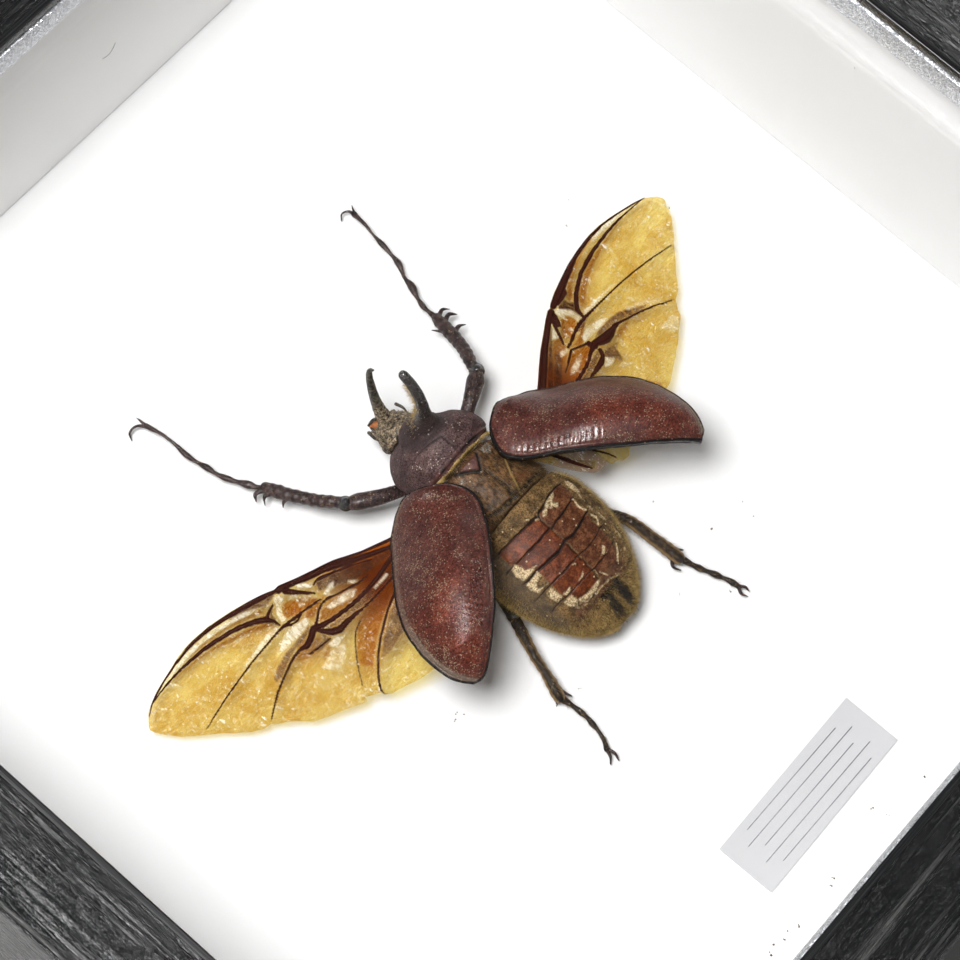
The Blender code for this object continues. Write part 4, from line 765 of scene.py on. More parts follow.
# Legs: centre lines as (u, v, h, radius), with teeth and claws as their own short lines
LEGS = {
    "leg_front_left": {
        "femur": [(-6.4, 6.2, 6.0, 0.9), (-9.7, 8.0, 6.6, 1.05), (-12.0, 9.7, 6.4, 1.15),
                  (-13.1, 10.7, 6.1, 0.8)],
        "tibia": [(-12.7, 10.2, 6.2, 0.6), (-13.7, 12.0, 5.7, 0.85), (-15.1, 14.8, 4.4, 0.85),
                  (-16.1, 17.2, 3.6, 0.9), (-16.8, 19.2, 2.9, 0.95), (-17.3, 21.0, 2.4, 0.8)],
        "tarsus": [(-17.2, 20.6, 2.4, 0.45), (-17.9, 22.0, 2.0, 0.36), (-18.3, 23.0, 1.8, 0.55),
                   (-19.0, 24.7, 1.5, 0.32), (-19.5, 26.0, 1.4, 0.46), (-19.9, 27.7, 1.2, 0.28),
                   (-20.0, 29.0, 1.2, 0.42), (-20.3, 30.6, 1.1, 0.26), (-20.5, 32.3, 1.2, 0.4),
                   (-20.4, 34.4, 1.4, 0.22), (-20.5, 36.3, 1.5, 0.23), (-20.9, 39.2, 1.0, 0.36)],
        "spikes": [[(-17.6, 20.9, 2.4, 0.4), (-18.9, 21.4, 2.2, 0.25), (-19.5, 20.7, 1.9, 0.07)],
                   [(-17.2, 19.6, 2.7, 0.4), (-18.4, 20.2, 2.4, 0.26), (-19.2, 19.4, 2.1, 0.07)],
                   [(-16.6, 17.5, 3.3, 0.4), (-17.4, 17.7, 3.0, 0.24), (-18.0, 17.3, 2.7, 0.07)],
                   [(-20.9, 39.0, 1.0, 0.24), (-21.9, 40.0, 1.3, 0.18), (-23.1, 40.1, 0.9, 0.14),
                    (-23.6, 39.3, 0.4, 0.06)],
                   [(-20.9, 39.0, 1.0, 0.22), (-20.9, 40.1, 1.2, 0.16), (-20.8, 41.0, 0.6, 0.07)]],
    },
    "leg_front_right": {
        "femur": [(6.4, 6.2, 6.0, 0.9), (9.6, 7.7, 6.6, 1.05), (12.0, 8.9, 6.4, 1.2),
                  (13.2, 9.7, 6.1, 0.8)],
        "tibia": [(12.7, 9.4, 6.2, 0.6), (13.8, 11.2, 5.7, 0.85), (15.3, 13.9, 4.4, 0.9),
                  (16.0, 16.0, 3.6, 0.95), (16.5, 17.8, 2.9, 0.95), (17.0, 19.5, 2.4, 0.8)],
        "tarsus": [(17.0, 19.2, 2.4, 0.45), (17.1, 20.5, 2.1, 0.42), (17.15, 21.1, 2.0, 0.28),
                   (17.3, 22.2, 1.8, 0.42), (17.8, 23.5, 1.5, 0.3), (18.7, 25.4, 1.4, 0.55),
                   (19.1, 26.9, 1.2, 0.26), (20.3, 29.3, 1.2, 0.44), (20.6, 30.6, 1.1, 0.24),
                   (20.9, 32.6, 1.2, 0.38), (21.1, 34.4, 1.4, 0.2), (21.5, 36.2, 1.5, 0.22),
                   (21.9, 38.5, 1.0, 0.42)],
        "spikes": [[(17.2, 19.4, 2.4, 0.4), (18.6, 19.8, 2.2, 0.25), (19.4, 19.2, 1.9, 0.07)],
                   [(17.0, 18.2, 2.7, 0.4), (18.6, 18.6, 2.4, 0.26), (19.4, 17.9, 2.1, 0.07)],
                   [(16.6, 16.2, 3.3, 0.4), (18.0, 16.3, 3.0, 0.24), (18.8, 15.9, 2.7, 0.07)],
                   [(16.0, 17.2, 2.9, 0.35), (15.1, 18.8, 2.6, 0.07)],
                   [(21.9, 38.3, 1.0, 0.24), (21.6, 39.3, 1.3, 0.18), (20.8, 39.9, 0.9, 0.14),
                    (20.2, 39.4, 0.4, 0.06)],
                   [(21.9, 38.3, 1.0, 0.22), (22.2, 39.0, 1.2, 0.16), (22.9, 39.8, 0.6, 0.07)]],
    },
    "leg_middle_left": {
        "femur": [(-5.3, -1.6, 1.8, 0.95), (-8.4, -2.2, 3.8, 1.1), (-11.6, -2.8, 5.6, 0.9)],
        "tibia": [(-11.3, -2.6, 5.6, 0.75), (-14.0, -5.4, 3.8, 0.85), (-16.2, -8.2, 2.2, 1.0)],
        "tarsus": [(-16.0, -8.0, 2.2, 0.45), (-16.9, -9.8, 1.4, 0.5), (-17.1, -11.6, 1.0, 0.42),
                   (-16.8, -13.4, 0.9, 0.3)],
        "spikes": [[(-16.0, -8.0, 2.0, 0.4), (-17.5, -8.9, 1.4, 0.1)]],
    },
    "leg_middle_right": {
        "femur": [(5.3, -1.6, 1.8, 0.95), (8.4, -2.2, 3.8, 1.1), (11.6, -2.8, 5.6, 0.9)],
        "tibia": [(11.3, -2.6, 5.6, 0.75), (15.0, -4.8, 3.8, 0.85), (18.6, -6.6, 2.2, 1.0)],
        "tarsus": [(18.4, -6.5, 2.2, 0.45), (20.4, -7.6, 1.4, 0.5), (22.0, -9.0, 1.0, 0.42),
                   (23.2, -10.4, 0.9, 0.3)],
        "spikes": [[(18.4, -6.5, 2.0, 0.4), (19.4, -8.0, 1.4, 0.1)]],
    },
    "leg_hind_left": {
        "femur": [(-5.2, -6.2, 1.6, 0.9), (-7.6, -11.6, 1.9, 1.0), (-9.6, -15.9, 3.2, 0.85)],
        "tibia": [(-9.4, -15.4, 3.2, 0.7), (-10.6, -17.9, 3.5, 0.8), (-11.3, -19.7, 3.2, 0.72),
                  (-12.0, -21.6, 2.9, 0.68), (-12.6, -23.8, 2.5, 0.68), (-13.3, -25.9, 2.0, 0.85),
                  (-13.7, -27.2, 1.7, 0.85)],
        "tarsus": [(-13.6, -26.9, 1.6, 0.5), (-13.4, -28.5, 1.2, 0.48), (-13.3, -29.2, 1.1, 0.32),
                   (-13.2, -30.8, 0.9, 0.45), (-13.2, -31.5, 0.8, 0.3), (-13.4, -32.9, 0.8, 0.42),
                   (-13.6, -33.8, 0.8, 0.24), (-14.1, -35.3, 0.8, 0.3), (-14.8, -36.4, 0.8, 0.42)],
        "spikes": [[(-13.5, -26.6, 1.6, 0.4), (-14.4, -27.4, 1.0, 0.1)],
                   [(-13.0, -26.6, 1.6, 0.35), (-12.3, -28.3, 0.9, 0.1)],
                   [(-14.8, -36.2, 0.8, 0.24), (-15.4, -37.4, 0.9, 0.18), (-16.0, -38.0, 0.5, 0.08)],
                   [(-14.8, -36.2, 0.8, 0.24), (-14.6, -37.6, 0.9, 0.18), (-14.9, -38.5, 0.5, 0.08)]],
    },
    "leg_hind_right": {
        "femur": [(5.2, -6.2, 1.6, 0.9), (7.8, -11.6, 1.9, 1.0), (10.4, -16.3, 3.2, 0.85)],
        "tibia": [(10.2, -15.8, 3.2, 0.7), (11.0, -17.6, 3.5, 0.75), (11.6, -19.3, 3.3, 0.8),
                  (11.8, -20.9, 2.9, 0.85), (12.0, -23.1, 2.5, 0.9), (12.3, -25.3, 2.0, 0.95),
                  (12.4, -27.0, 1.7, 1.0)],
        "tarsus": [(12.5, -26.6, 1.6, 0.5), (12.9, -28.2, 1.2, 0.5), (13.1, -28.9, 1.1, 0.34),
                   (13.5, -30.2, 0.9, 0.48), (13.8, -31.0, 0.8, 0.32), (14.3, -32.5, 0.8, 0.46),
                   (14.5, -33.1, 0.8, 0.3), (14.9, -34.8, 0.8, 0.44), (15.0, -35.8, 0.8, 0.34)],
        "spikes": [[(11.8, -26.6, 1.6, 0.4), (11.1, -27.2, 1.3, 0.2), (11.5, -28.3, 0.9, 0.1)],
                   [(12.8, -25.6, 1.7, 0.4), (13.8, -26.8, 1.4, 0.1)],
                   [(15.0, -35.6, 0.8, 0.24), (14.4, -36.5, 0.9, 0.18), (14.8, -37.5, 0.5, 0.08)],
                   [(15.0, -35.6, 0.8, 0.24), (15.5, -36.4, 0.8, 0.18), (15.5, -37.2, 0.5, 0.08)]],
    },
}
LEG_SHIFTS = {
    "leg_hind_right": (-0.36, 0.0, 0.0),
    "leg_front_left": (-0.1, -0.1, 0.0),
    "leg_front_right": (-0.1, 0.1, 0.0),
}


def chain(points, count, by_length=True):
    """count rows along a smooth line through the given ones, extra columns such as a radius too."""
    p = np.asarray(points, float)
    t = np.arange(len(p), dtype=float)
    if by_length:
        t = np.concatenate([[0], np.cumsum(np.linalg.norm(np.diff(p[:, :3], axis=0), axis=1))])
    slope = np.diff(p, axis=0) / np.diff(t)[:, None]
    step = np.diff(t)[:, None]
    middle = (slope[:-1] * step[1:] + slope[1:] * step[:-1]) / (step[:-1] + step[1:])
    tangent = np.vstack([slope[:1], middle, slope[-1:]])
    s = np.linspace(0, t[-1], count)
    k = np.clip(np.searchsorted(t, s, side="right") - 1, 0, len(t) - 2)
    x = ((s - t[k]) / step[k, 0])[:, None]
    a, b = p[k], p[k + 1]
    ma, mb = tangent[k] * step[k], tangent[k + 1] * step[k]
    straight = a * (2 * x**3 - 3 * x**2 + 1) + b * (3 * x**2 - 2 * x**3)
    return straight + ma * (x**3 - 2 * x**2 + x) + mb * (x**3 - x**2)


class Shape:
    """Points in millimetres, the faces that join them, and marks: one number a point."""

    def __init__(self):
        self.points = np.zeros((0, 3))
        self.faces = []
        self.inks = []
        self.marks = {}

    def add(self, points, faces, ink=0, **marks):
        points = np.reshape(points, (-1, 3))
        start, more = len(self.points), len(points)
        self.faces += [tuple(int(i) + start for i in face) for face in faces]
        self.inks += [ink] * len(faces)
        for name in set(self.marks) | set(marks):
            old = self.marks.get(name, np.zeros(start))
            new = np.broadcast_to(np.asarray(marks.get(name, 0.0), float), (more,))
            self.marks[name] = np.concatenate([old, new])
        self.points = np.vstack([self.points, points])
        return self


def lattice(rows, columns, closed=False):
    """Faces over a grid of points, row after row; a closed one joins its last column to its first."""
    across = columns if closed else columns - 1
    faces = []
    for i in range(rows - 1):
        for j in range(across):
            k = (j + 1) % columns
            faces.append((i * columns + j, i * columns + k, (i + 1) * columns + k, (i + 1) * columns + j))
    return faces


def capped(rows, columns):
    """Faces of a closed tube of rings with both its ends filled."""
    last = (rows - 1) * columns
    ends = [tuple(range(columns))[::-1], tuple(range(last, last + columns))]
    return lattice(rows, columns, closed=True) + ends


def ring(station, angles, keel, arch=1.0):
    """A cross-section: an arched back over the side margins, and a belly that draws in below them."""
    v, wide, margin, top, bottom = station
    c, s = np.cos(angles), np.sin(angles)
    power = 2 / keel
    across = np.where(s >= 0, c, np.sign(c) * np.abs(c) ** power)
    height = np.where(
        s >= 0,
        margin + (top - margin) * np.abs(s) ** arch,
        margin - (margin - bottom) * np.abs(s) ** power,
    )
    return np.stack([wide * across, np.full(len(angles), v), height], axis=1)


def hull_of(rings, count, sides, keel, arch=1.0):
    """A body skinned over smooth rings, as a shape."""
    angles = np.linspace(0, 2 * np.pi, sides, endpoint=False)
    points = np.vstack([ring(station, angles, keel, arch) for station in chain(rings, count)])
    return Shape().add(points, capped(count, sides))


def tube(line, sides=12, flat=1.0):
    """Points and faces of a round limb along rows of (u, v, h, radius), with domed ends."""
    line = np.asarray(line, float)
    centres, radii = line[:, :3], line[:, 3]
    ahead = np.gradient(centres, axis=0)
    ahead /= np.linalg.norm(ahead, axis=1)[:, None]
    across = np.cross(ahead, (0.0, 0.0, 1.0))
    weak = np.linalg.norm(across, axis=1) < 0.25
    across[weak] = (1.0, 0.0, 0.0)
    across -= (across * ahead).sum(1)[:, None] * ahead
    across /= np.linalg.norm(across, axis=1)[:, None]
    rise = np.cross(across, ahead)
    dome = np.radians([75, 50, 25])

    def domed(end, way, angle):
        centre = centres[end] + way * ahead[end] * radii[end] * np.sin(angle)
        return centre, across[end], rise[end], radii[end] * np.cos(angle)

    rows = [domed(0, -1, angle) for angle in dome]
    rows += list(zip(centres, across, rise, radii))
    rows += [domed(-1, 1, angle) for angle in dome[::-1]]
    turn = np.linspace(0, 2 * np.pi, sides, endpoint=False)
    points = []
    for centre, side, up, radius in rows:
        points.append(centre + radius * (np.cos(turn)[:, None] * side + flat * np.sin(turn)[:, None] * up))
    return np.vstack(points), capped(len(rows), sides)


def grain(points, size, seed=0.0):
    """Smooth noise between about -1 and 1 at each point, with features of that size in millimetres."""
    shift = Vector((seed * 7.1, seed * 3.7, seed * 5.3))
    return np.array([noise.noise(Vector(p) / size + shift) for p in points])


def strip(points, line):
    """How far each (u, v) lies from a line of (u, v, half width), as a share of the half width there."""
    p = np.asarray(points, float)[:, :2]
    best = np.full(len(p), 99.0)
    for a, b in zip(line[:-1], line[1:]):
        a, b = np.asarray(a, float), np.asarray(b, float)
        along = b[:2] - a[:2]
        t = np.clip(((p - a[:2]) @ along) / (along @ along), 0, 1)
        away = np.linalg.norm(p - a[:2] - t[:, None] * along, axis=1)
        best = np.minimum(best, away / (a[2] + (b[2] - a[2]) * t))
    return best


def fade(x, low, high):
    """0 at low, 1 at high and smooth between; high may be the smaller one."""
    t = np.clip((np.asarray(x, float) - low) / (high - low), 0, 1)
    return t * t * (3 - 2 * t)


def mesh_of(name, shape):
    """The shape as a mesh in metres, with its marks as point attributes."""
    mesh = bpy.data.meshes.new(name)
    mesh.from_pydata((shape.points * MM).tolist(), [], shape.faces)
    mesh.polygons.foreach_set("material_index", shape.inks)
    for mark, values in shape.marks.items():
        mesh.attributes.new(mark, "FLOAT", "POINT").data.foreach_set("value", values.astype(np.float32))
    mesh.update()
    return mesh


def melted(shape, voxel, rounds):
    """The shape's bodies grown into one smooth closed skin, with cells of that size in millimetres."""
    body = bpy.data.objects.new("melting", mesh_of("melting", shape))
    bpy.context.scene.collection.objects.link(body)
    cells = body.modifiers.new("cells", "REMESH")
    cells.mode = "VOXEL"
    cells.voxel_size = voxel * MM
    soften = body.modifiers.new("soften", "SMOOTH")
    soften.factor = 0.5
    soften.iterations = rounds
    made = body.evaluated_get(bpy.context.evaluated_depsgraph_get()).to_mesh()
    points = np.empty(len(made.vertices) * 3, np.float32)
    made.vertices.foreach_get("co", points)
    skin = Shape().add(points.reshape(-1, 3) / MM, [tuple(face.vertices) for face in made.polygons])
    bpy.data.objects.remove(body)
    return skin


def normals_of(shape):
    """The direction that the surface faces at each point."""
    mesh = mesh_of("facing", shape)
    normals = np.empty(len(mesh.vertices) * 3, np.float32)
    mesh.vertices.foreach_get("normal", normals)
    bpy.data.meshes.remove(mesh)
    return normals.reshape(-1, 3).astype(float)


def piece(name, shape, materials, nodes=(), seat=SEAT, sharp=None):
    """A mesh piece that rides on the object's one body."""
    made = bpy.data.objects.new(name, mesh_of(name, shape))
    bpy.context.scene.collection.objects.link(made)
    made.matrix_world = seat
    made.data.shade_smooth()
    if sharp:
        made.data.set_sharp_from_angle(angle=math.radians(sharp))
    for material in materials:
        made.data.materials.append(material)
    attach(made, "root")
    if nodes:
        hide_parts(*nodes)
    return made


def scatter(shape, count, weight, draw):
    """Random points on a shape and the directions that it faces there, denser where weight is higher."""
    p = shape.points
    corners = np.array([face[:3] for face in shape.faces])
    a, b, c = p[corners[:, 0]], p[corners[:, 1]], p[corners[:, 2]]
    facing = np.cross(b - a, c - a)
    area = np.linalg.norm(facing, axis=1)
    share = area * np.clip(weight((a + b + c) / 3, facing / np.maximum(area, 1e-12)[:, None]), 0, None)
    picked = draw.choice(len(area), size=count, p=share / share.sum())
    r1, r2 = draw.random((2, count, 1))
    flip = r1 + r2 > 1
    r1, r2 = np.where(flip, 1 - r1, r1), np.where(flip, 1 - r2, r2)
    spots = a[picked] + r1 * (b - a)[picked] + r2 * (c - a)[picked]
    return spots, (facing / np.maximum(area, 1e-12)[:, None])[picked]


def strands(roots, directions, lengths, radius, draw, curl=0.35, droop=0.15, bent=True):
    """Points and faces of fine hairs, three-sided and tapering to a point; short ones may be straight."""
    count = len(roots)
    directions = directions + curl * draw.normal(size=(count, 3)) * 0.5
    directions /= np.linalg.norm(directions, axis=1)[:, None]
    bend = draw.normal(size=(count, 3)) * curl
    bend[:, 2] -= droop
    lengths = np.reshape(lengths, (-1, 1))
    side = np.cross(directions, (0.31, 0.52, 0.79))
    side /= np.linalg.norm(side, axis=1)[:, None]
    other = np.cross(directions, side)
    levels = []
    foot, knee = (-0.06, 1.0), (0.5, 0.75)
    for along, thick in (foot, knee) if bent else (foot,):
        centre = roots + lengths * along * directions + lengths * bend * along * abs(along)
        for turn in THIRDS:
            levels.append(centre + radius * thick * (math.cos(turn) * side + math.sin(turn) * other))
    levels.append(roots + lengths * directions + lengths * bend)
    points = np.stack(levels, axis=1).reshape(-1, 3)
    one = [(0, 1, 3), (1, 2, 3), (2, 0, 3), (2, 1, 0)]
    if bent:
        one = [(0, 1, 4, 3), (1, 2, 5, 4), (2, 0, 3, 5), (3, 4, 6), (4, 5, 6), (5, 3, 6), (2, 1, 0)]
    faces = [tuple(len(levels) * n + i for i in face) for n in range(count) for face in one]
    return points, faces


class Paint:
    """A material under construction: each method adds nodes and returns an output."""

    def __init__(self, name):
        self.material = bpy.data.materials.new(name)
        self.material.use_nodes = True
        self.tree = self.material.node_tree
        self.tree.nodes.clear()
        self.place = self.tree.nodes.new("ShaderNodeTexCoord").outputs["Object"]

    def add(self, kind, inputs, output=0, **settings):
        node = self.tree.nodes.new("ShaderNode" + kind)
        for key, value in settings.items():
            setattr(node, key, value)
        for key, value in inputs.items():
            self.feed(node.inputs[key], value)
        return None if output is None else node.outputs[output]

    def feed(self, socket, value):
        if isinstance(value, bpy.types.NodeSocket):
            self.tree.links.new(value, socket)
        elif isinstance(value, tuple) and socket.type == "RGBA":
            socket.default_value = (*value, 1.0)
        else:
            socket.default_value = value

    def stretched(self, stretch):
        return self.add("VectorMath", {0: self.place, 1: stretch}, operation="MULTIPLY")

    def noise(self, size, detail=3.0, rough=0.5, stretch=None, warp=0.0):
        place = self.stretched(stretch) if stretch else self.place
        inputs = {"Vector": place, "Scale": 1 / (size * MM), "Detail": detail}
        return self.add("TexNoise", {**inputs, "Roughness": rough, "Distortion": warp}, "Fac")

    def cells(self, size, output="Distance", feature="F1", jitter=1.0, stretch=None):
        place = self.stretched(stretch) if stretch else self.place
        inputs = {"Vector": place, "Scale": 1 / (size * MM), "Randomness": jitter}
        return self.add("TexVoronoi", inputs, output, feature=feature)

    def mark(self, name):
        return self.add("Attribute", {}, "Fac", attribute_name=name)

    def math(self, operation, a, b=0.0, clamp=False):
        return self.add("Math", {0: a, 1: b}, operation=operation, use_clamp=clamp)

    def fade(self, value, low, high, kind="SMOOTHSTEP"):
        inputs = {"Value": value, "From Min": low, "From Max": high}
        return self.add("MapRange", inputs, interpolation_type=kind)

    def mix(self, share, a, b, blend="MIX"):
        return self.add("Mix", {0: share, 6: a, 7: b}, 2, data_type="RGBA", blend_type=blend)

    def between(self, share, a, b):
        return self.add("Mix", {0: share, 2: a, 3: b}, 0, data_type="FLOAT")

    def bump(self, height, depth, normal=None, strength=1.0):
        """The surface's direction over relief whose height of 1 stands for that many millimetres."""
        inputs = {"Height": height, "Distance": depth * MM, "Strength": strength}
        if normal:
            inputs["Normal"] = normal
        return self.add("Bump", inputs)

    def speckle(self, size, share, radius=0.3):
        """1 in small round spots, one in some of the cells of that size; share is how many of them."""
        place = self.cells(size)
        pick = self.add("SeparateColor", {0: self.cells(size, "Color")}, "Red")
        spot = self.fade(place, radius, radius * 0.6)
        return self.math("MULTIPLY", spot, self.math("LESS_THAN", pick, share))

    def surface(self, colour, roughness, normal=None, **others):
        """The Principled shader; further sockets are named with _ for a space."""
        inputs = {"Base Color": colour, "Roughness": roughness}
        if normal:
            inputs["Normal"] = normal
        for key, value in others.items():
            inputs[key.replace("_", " ")] = value
        return self.add("BsdfPrincipled", inputs)

    def end(self, shader):
        self.add("OutputMaterial", {"Surface": shader}, None)
        return self.material


def black_foil():
    """Black foil over a wood-grain embossing that runs along the rail, its own Y."""
    p = Paint("black_foil")
    vessels = p.noise(0.55, 4, 0.6, (1.0, 0.03, 1.0), 0.4)
    waves = p.noise(2.6, 3, 0.5, (1.0, 0.045, 1.0), 0.8)
    fine = p.noise(0.16, 2, 0.5, (1.0, 0.08, 1.0))
    ridge = p.math("ADD", p.fade(vessels, 0.38, 0.62), p.math("MULTIPLY", waves, 0.9))
    relief = p.math("ADD", ridge, p.math("MULTIPLY", fine, 0.6))
    worn = p.fade(p.math("MULTIPLY", vessels, waves), 0.24, 0.4)
    colour = p.mix(worn, (0.004, 0.0042, 0.0045), (0.055, 0.055, 0.053))
    roughness = p.between(worn, 0.26, 0.42)
    return p.end(p.surface(colour, roughness, p.bump(relief, 0.3), Specular_IOR_Level=0.5))


def smooth_lacquer():
    """The plain glossy edge inside the moulding's lip."""
    p = Paint("smooth_lacquer")
    brushed = p.noise(0.3, 3, 0.5, (1.0, 0.02, 1.0))
    colour = p.mix(p.fade(brushed, 0.4, 0.7), (0.008, 0.0085, 0.009), (0.02, 0.02, 0.0205))
    return p.end(p.surface(colour, p.between(brushed, 0.2, 0.32), p.bump(brushed, 0.012)))


def silver_glitter():
    """A silver slip faced with fine flakes, each tipped its own way."""
    p = Paint("silver_glitter")
    tint = p.cells(0.12, "Color")
    tipped = p.add("VectorMath", {0: tint, 1: (0.5, 0.5, 0.5)}, operation="SUBTRACT")
    tipped = p.add("VectorMath", {0: tipped, "Scale": 0.6}, operation="SCALE")
    facing = p.add("NewGeometry", {}, "Normal")
    normal = p.add("VectorMath", {0: facing, 1: tipped}, operation="ADD")
    normal = p.add("VectorMath", {0: normal}, operation="NORMALIZE")
    pick = p.add("SeparateColor", {0: tint}, "Green")
    colour = p.mix(p.fade(pick, 0.1, 0.95), (0.34, 0.35, 0.37), (0.84, 0.85, 0.88))
    return p.end(p.surface(colour, p.between(pick, 0.5, 0.25), normal, Metallic=0.75))


def clear_glass():
    """Clear glass with a faint film in wide patches."""
    p = Paint("clear_glass")
    film = p.noise(40.0, 2, 0.5)
    roughness = p.fade(film, 0.55, 1.6)
    return p.end(p.surface((1.0, 1.0, 1.0), roughness, Transmission_Weight=1.0, IOR=1.5))


def card(name, colour, shade):
    """Matt white card with a faint fibre."""
    p = Paint(name)
    fibre = p.noise(0.35, 4, 0.65)
    cloud = p.noise(9.0, 3, 0.5)
    tone = p.mix(p.fade(p.math("ADD", fibre, cloud), 0.7, 1.3), shade, colour)
    return p.end(p.surface(tone, 0.75, p.bump(fibre, 0.02), Specular_IOR_Level=0.25))


def label_film():
    """Thin clear-grey film over white, with the soft sheen of a printed label."""
    p = Paint("label_film")
    fibre = p.noise(0.5, 4, 0.6)
    tone = p.mix(fibre, (0.53, 0.53, 0.55), (0.58, 0.58, 0.59))
    return p.end(p.surface(tone, 0.5, p.bump(fibre, 0.008)))


def ruled_ink():
    """Faded grey ink, worn thin in places."""
    p = Paint("ruled_ink")
    dry = p.noise(0.25, 3, 0.6)
    return p.end(p.surface(p.mix(p.fade(dry, 0.45, 0.7), (0.25, 0.25, 0.27), (0.45, 0.45, 0.46)), 0.55))


def hardboard():
    """Brown pressed fibre with short threads and a faint sheen."""
    p = Paint("hardboard")
    threads = p.noise(0.9, 5, 0.7, (1.0, 0.35, 1.0), 1.2)
    mottle = p.noise(6.0, 4, 0.6)
    tone = p.mix(p.fade(threads, 0.35, 0.65), (0.12, 0.062, 0.03), (0.27, 0.16, 0.085))
    tone = p.mix(p.fade(mottle, 0.5, 0.8), tone, (0.2, 0.115, 0.06))
    return p.end(p.surface(tone, 0.68, p.bump(threads, 0.06)))


def bent_steel():
    """Zinc-plated sheet with fine scratches and dull patches."""
    p = Paint("bent_steel")
    scratches = p.noise(0.2, 4, 0.6, (1.0, 0.08, 1.0))
    patches = p.noise(1.6, 3, 0.5)
    tone = p.mix(p.fade(patches, 0.35, 0.7), (0.42, 0.42, 0.43), (0.62, 0.62, 0.61))
    return p.end(p.surface(tone, p.between(patches, 0.28, 0.5), p.bump(scratches, 0.01), Metallic=1.0))


def arc(centre, radius, start, end, steps=4):
    """Points of a round edge between two directions in degrees."""
    angles = np.radians(np.linspace(start, end, steps))
    return [(centre[0] + radius * math.cos(a), centre[1] + radius * math.sin(a)) for a in angles]


def mitred_bar(kind, side, profile, materials, inks, node):
    """One side of a mitred frame, with its profile as (distance outwards from the opening, height).

    inks tells from the two ends of each edge of the profile which material lies along it.
    """
    half, other, turn = {
        "right": (OPEN_X / 2, OPEN_Y / 2, 0),
        "top": (OPEN_Y / 2, OPEN_X / 2, 90),
        "left": (OPEN_X / 2, OPEN_Y / 2, 180),
        "bottom": (OPEN_Y / 2, OPEN_X / 2, 270),
    }[side]
    count = len(profile)
    points = [(half + d, way * (other + d - MITRE_SAW), z) for way in (-1, 1) for d, z in profile]
    shape = Shape()
    shape.points = np.array(points)
    shape.faces = [tuple(range(count)), tuple(range(count, 2 * count))[::-1]]
    shape.inks = [0, 0]
    for n in range(count):
        m = (n + 1) % count
        shape.faces.append((m, n, count + n, count + m))
        shape.inks.append(inks(profile[n], profile[m]))
    seat = Matrix.Rotation(math.radians(turn), 4, "Z")
    return piece(f"{kind}_{side}", shape, materials, [f"{node}_{side}"], seat, sharp=32)


def make_moulding():
    """Rails with a stepped, rounded inner edge, and silver slips that swell under the lip."""
    foil, lacquer, glitter = black_foil(), smooth_lacquer(), silver_glitter()
    outer = (FRAME_HIGH.x - FRAME_LOW.x - OPEN_X) / 2
    top, step, round_edge = FACE_Z, FACE_Z - 0.28, 0.9
    rail = [(REBATE, 0.0), (outer - 0.3, 0.0)]
    rail += arc((outer - 0.3, 0.3), 0.3, -60, 0, 3)
    rail += arc((outer - round_edge, top - round_edge), round_edge, 0, 90, 7)
    rail += arc((1.15, top - 0.18), 0.18, 90, 180, 4)
    rail += [(0.97, step + 0.06), (0.9, step)]
    rail += arc((0.25, step - 0.25), 0.25, 90, 180, 4)
    rail += [(0.0, LIP_UNDER), (REBATE, LIP_UNDER)]
    inside = REBATE - SLIP_PLAY
    slip = [(inside, SLIP_LOW), (inside, SLIP_TOP), (0.35, SLIP_TOP)]
    slip += [(-0.2, SLIP_TOP - 0.25), (-0.45, SLIP_TOP - 1.0), (-0.55, SLIP_TOP - 2.0)]
    slip += [(-0.5, SLIP_LOW + 1.0), (-0.42, SLIP_LOW + 0.3), (-0.3, SLIP_LOW)]

    def rail_ink(a, b):
        return 1 if max(a[0], b[0]) < 1.0 and min(a[1], b[1]) > LIP_UNDER - 0.01 else 0

    for side in ("left", "right", "top", "bottom"):
        mitred_bar("moulding", side, rail, [foil, lacquer], rail_ink, "rail")
        mitred_bar("slip", side, slip[::-1], [glitter], lambda a, b: 0, "silver_slip")


def dress(nodes, material):
    """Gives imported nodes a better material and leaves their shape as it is."""
    for name in nodes:
        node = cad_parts[name]
        node.data.materials.clear()
        node.data.materials.append(material)


def make_box():
    """Finishes for the glass, the white lining and board, the label and the back."""
    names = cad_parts
    liner = card("liner_card", (0.85, 0.845, 0.835), (0.83, 0.825, 0.815))
    dress([n for n in names if n.startswith("wall_liner")], liner)
    dress(["backing_board"], card("board_card", (0.88, 0.88, 0.88), (0.86, 0.86, 0.86)))
    dress(["back_panel"], hardboard())
    dress([n for n in names if n.startswith("back_tab") or n == "hanger"], bent_steel())
    dress(["label"], label_film())
    dress(["glass_pane"], clear_glass())
    names["glass_pane"].visible_shadow = False
    names["glass_pane"].visible_diffuse = False


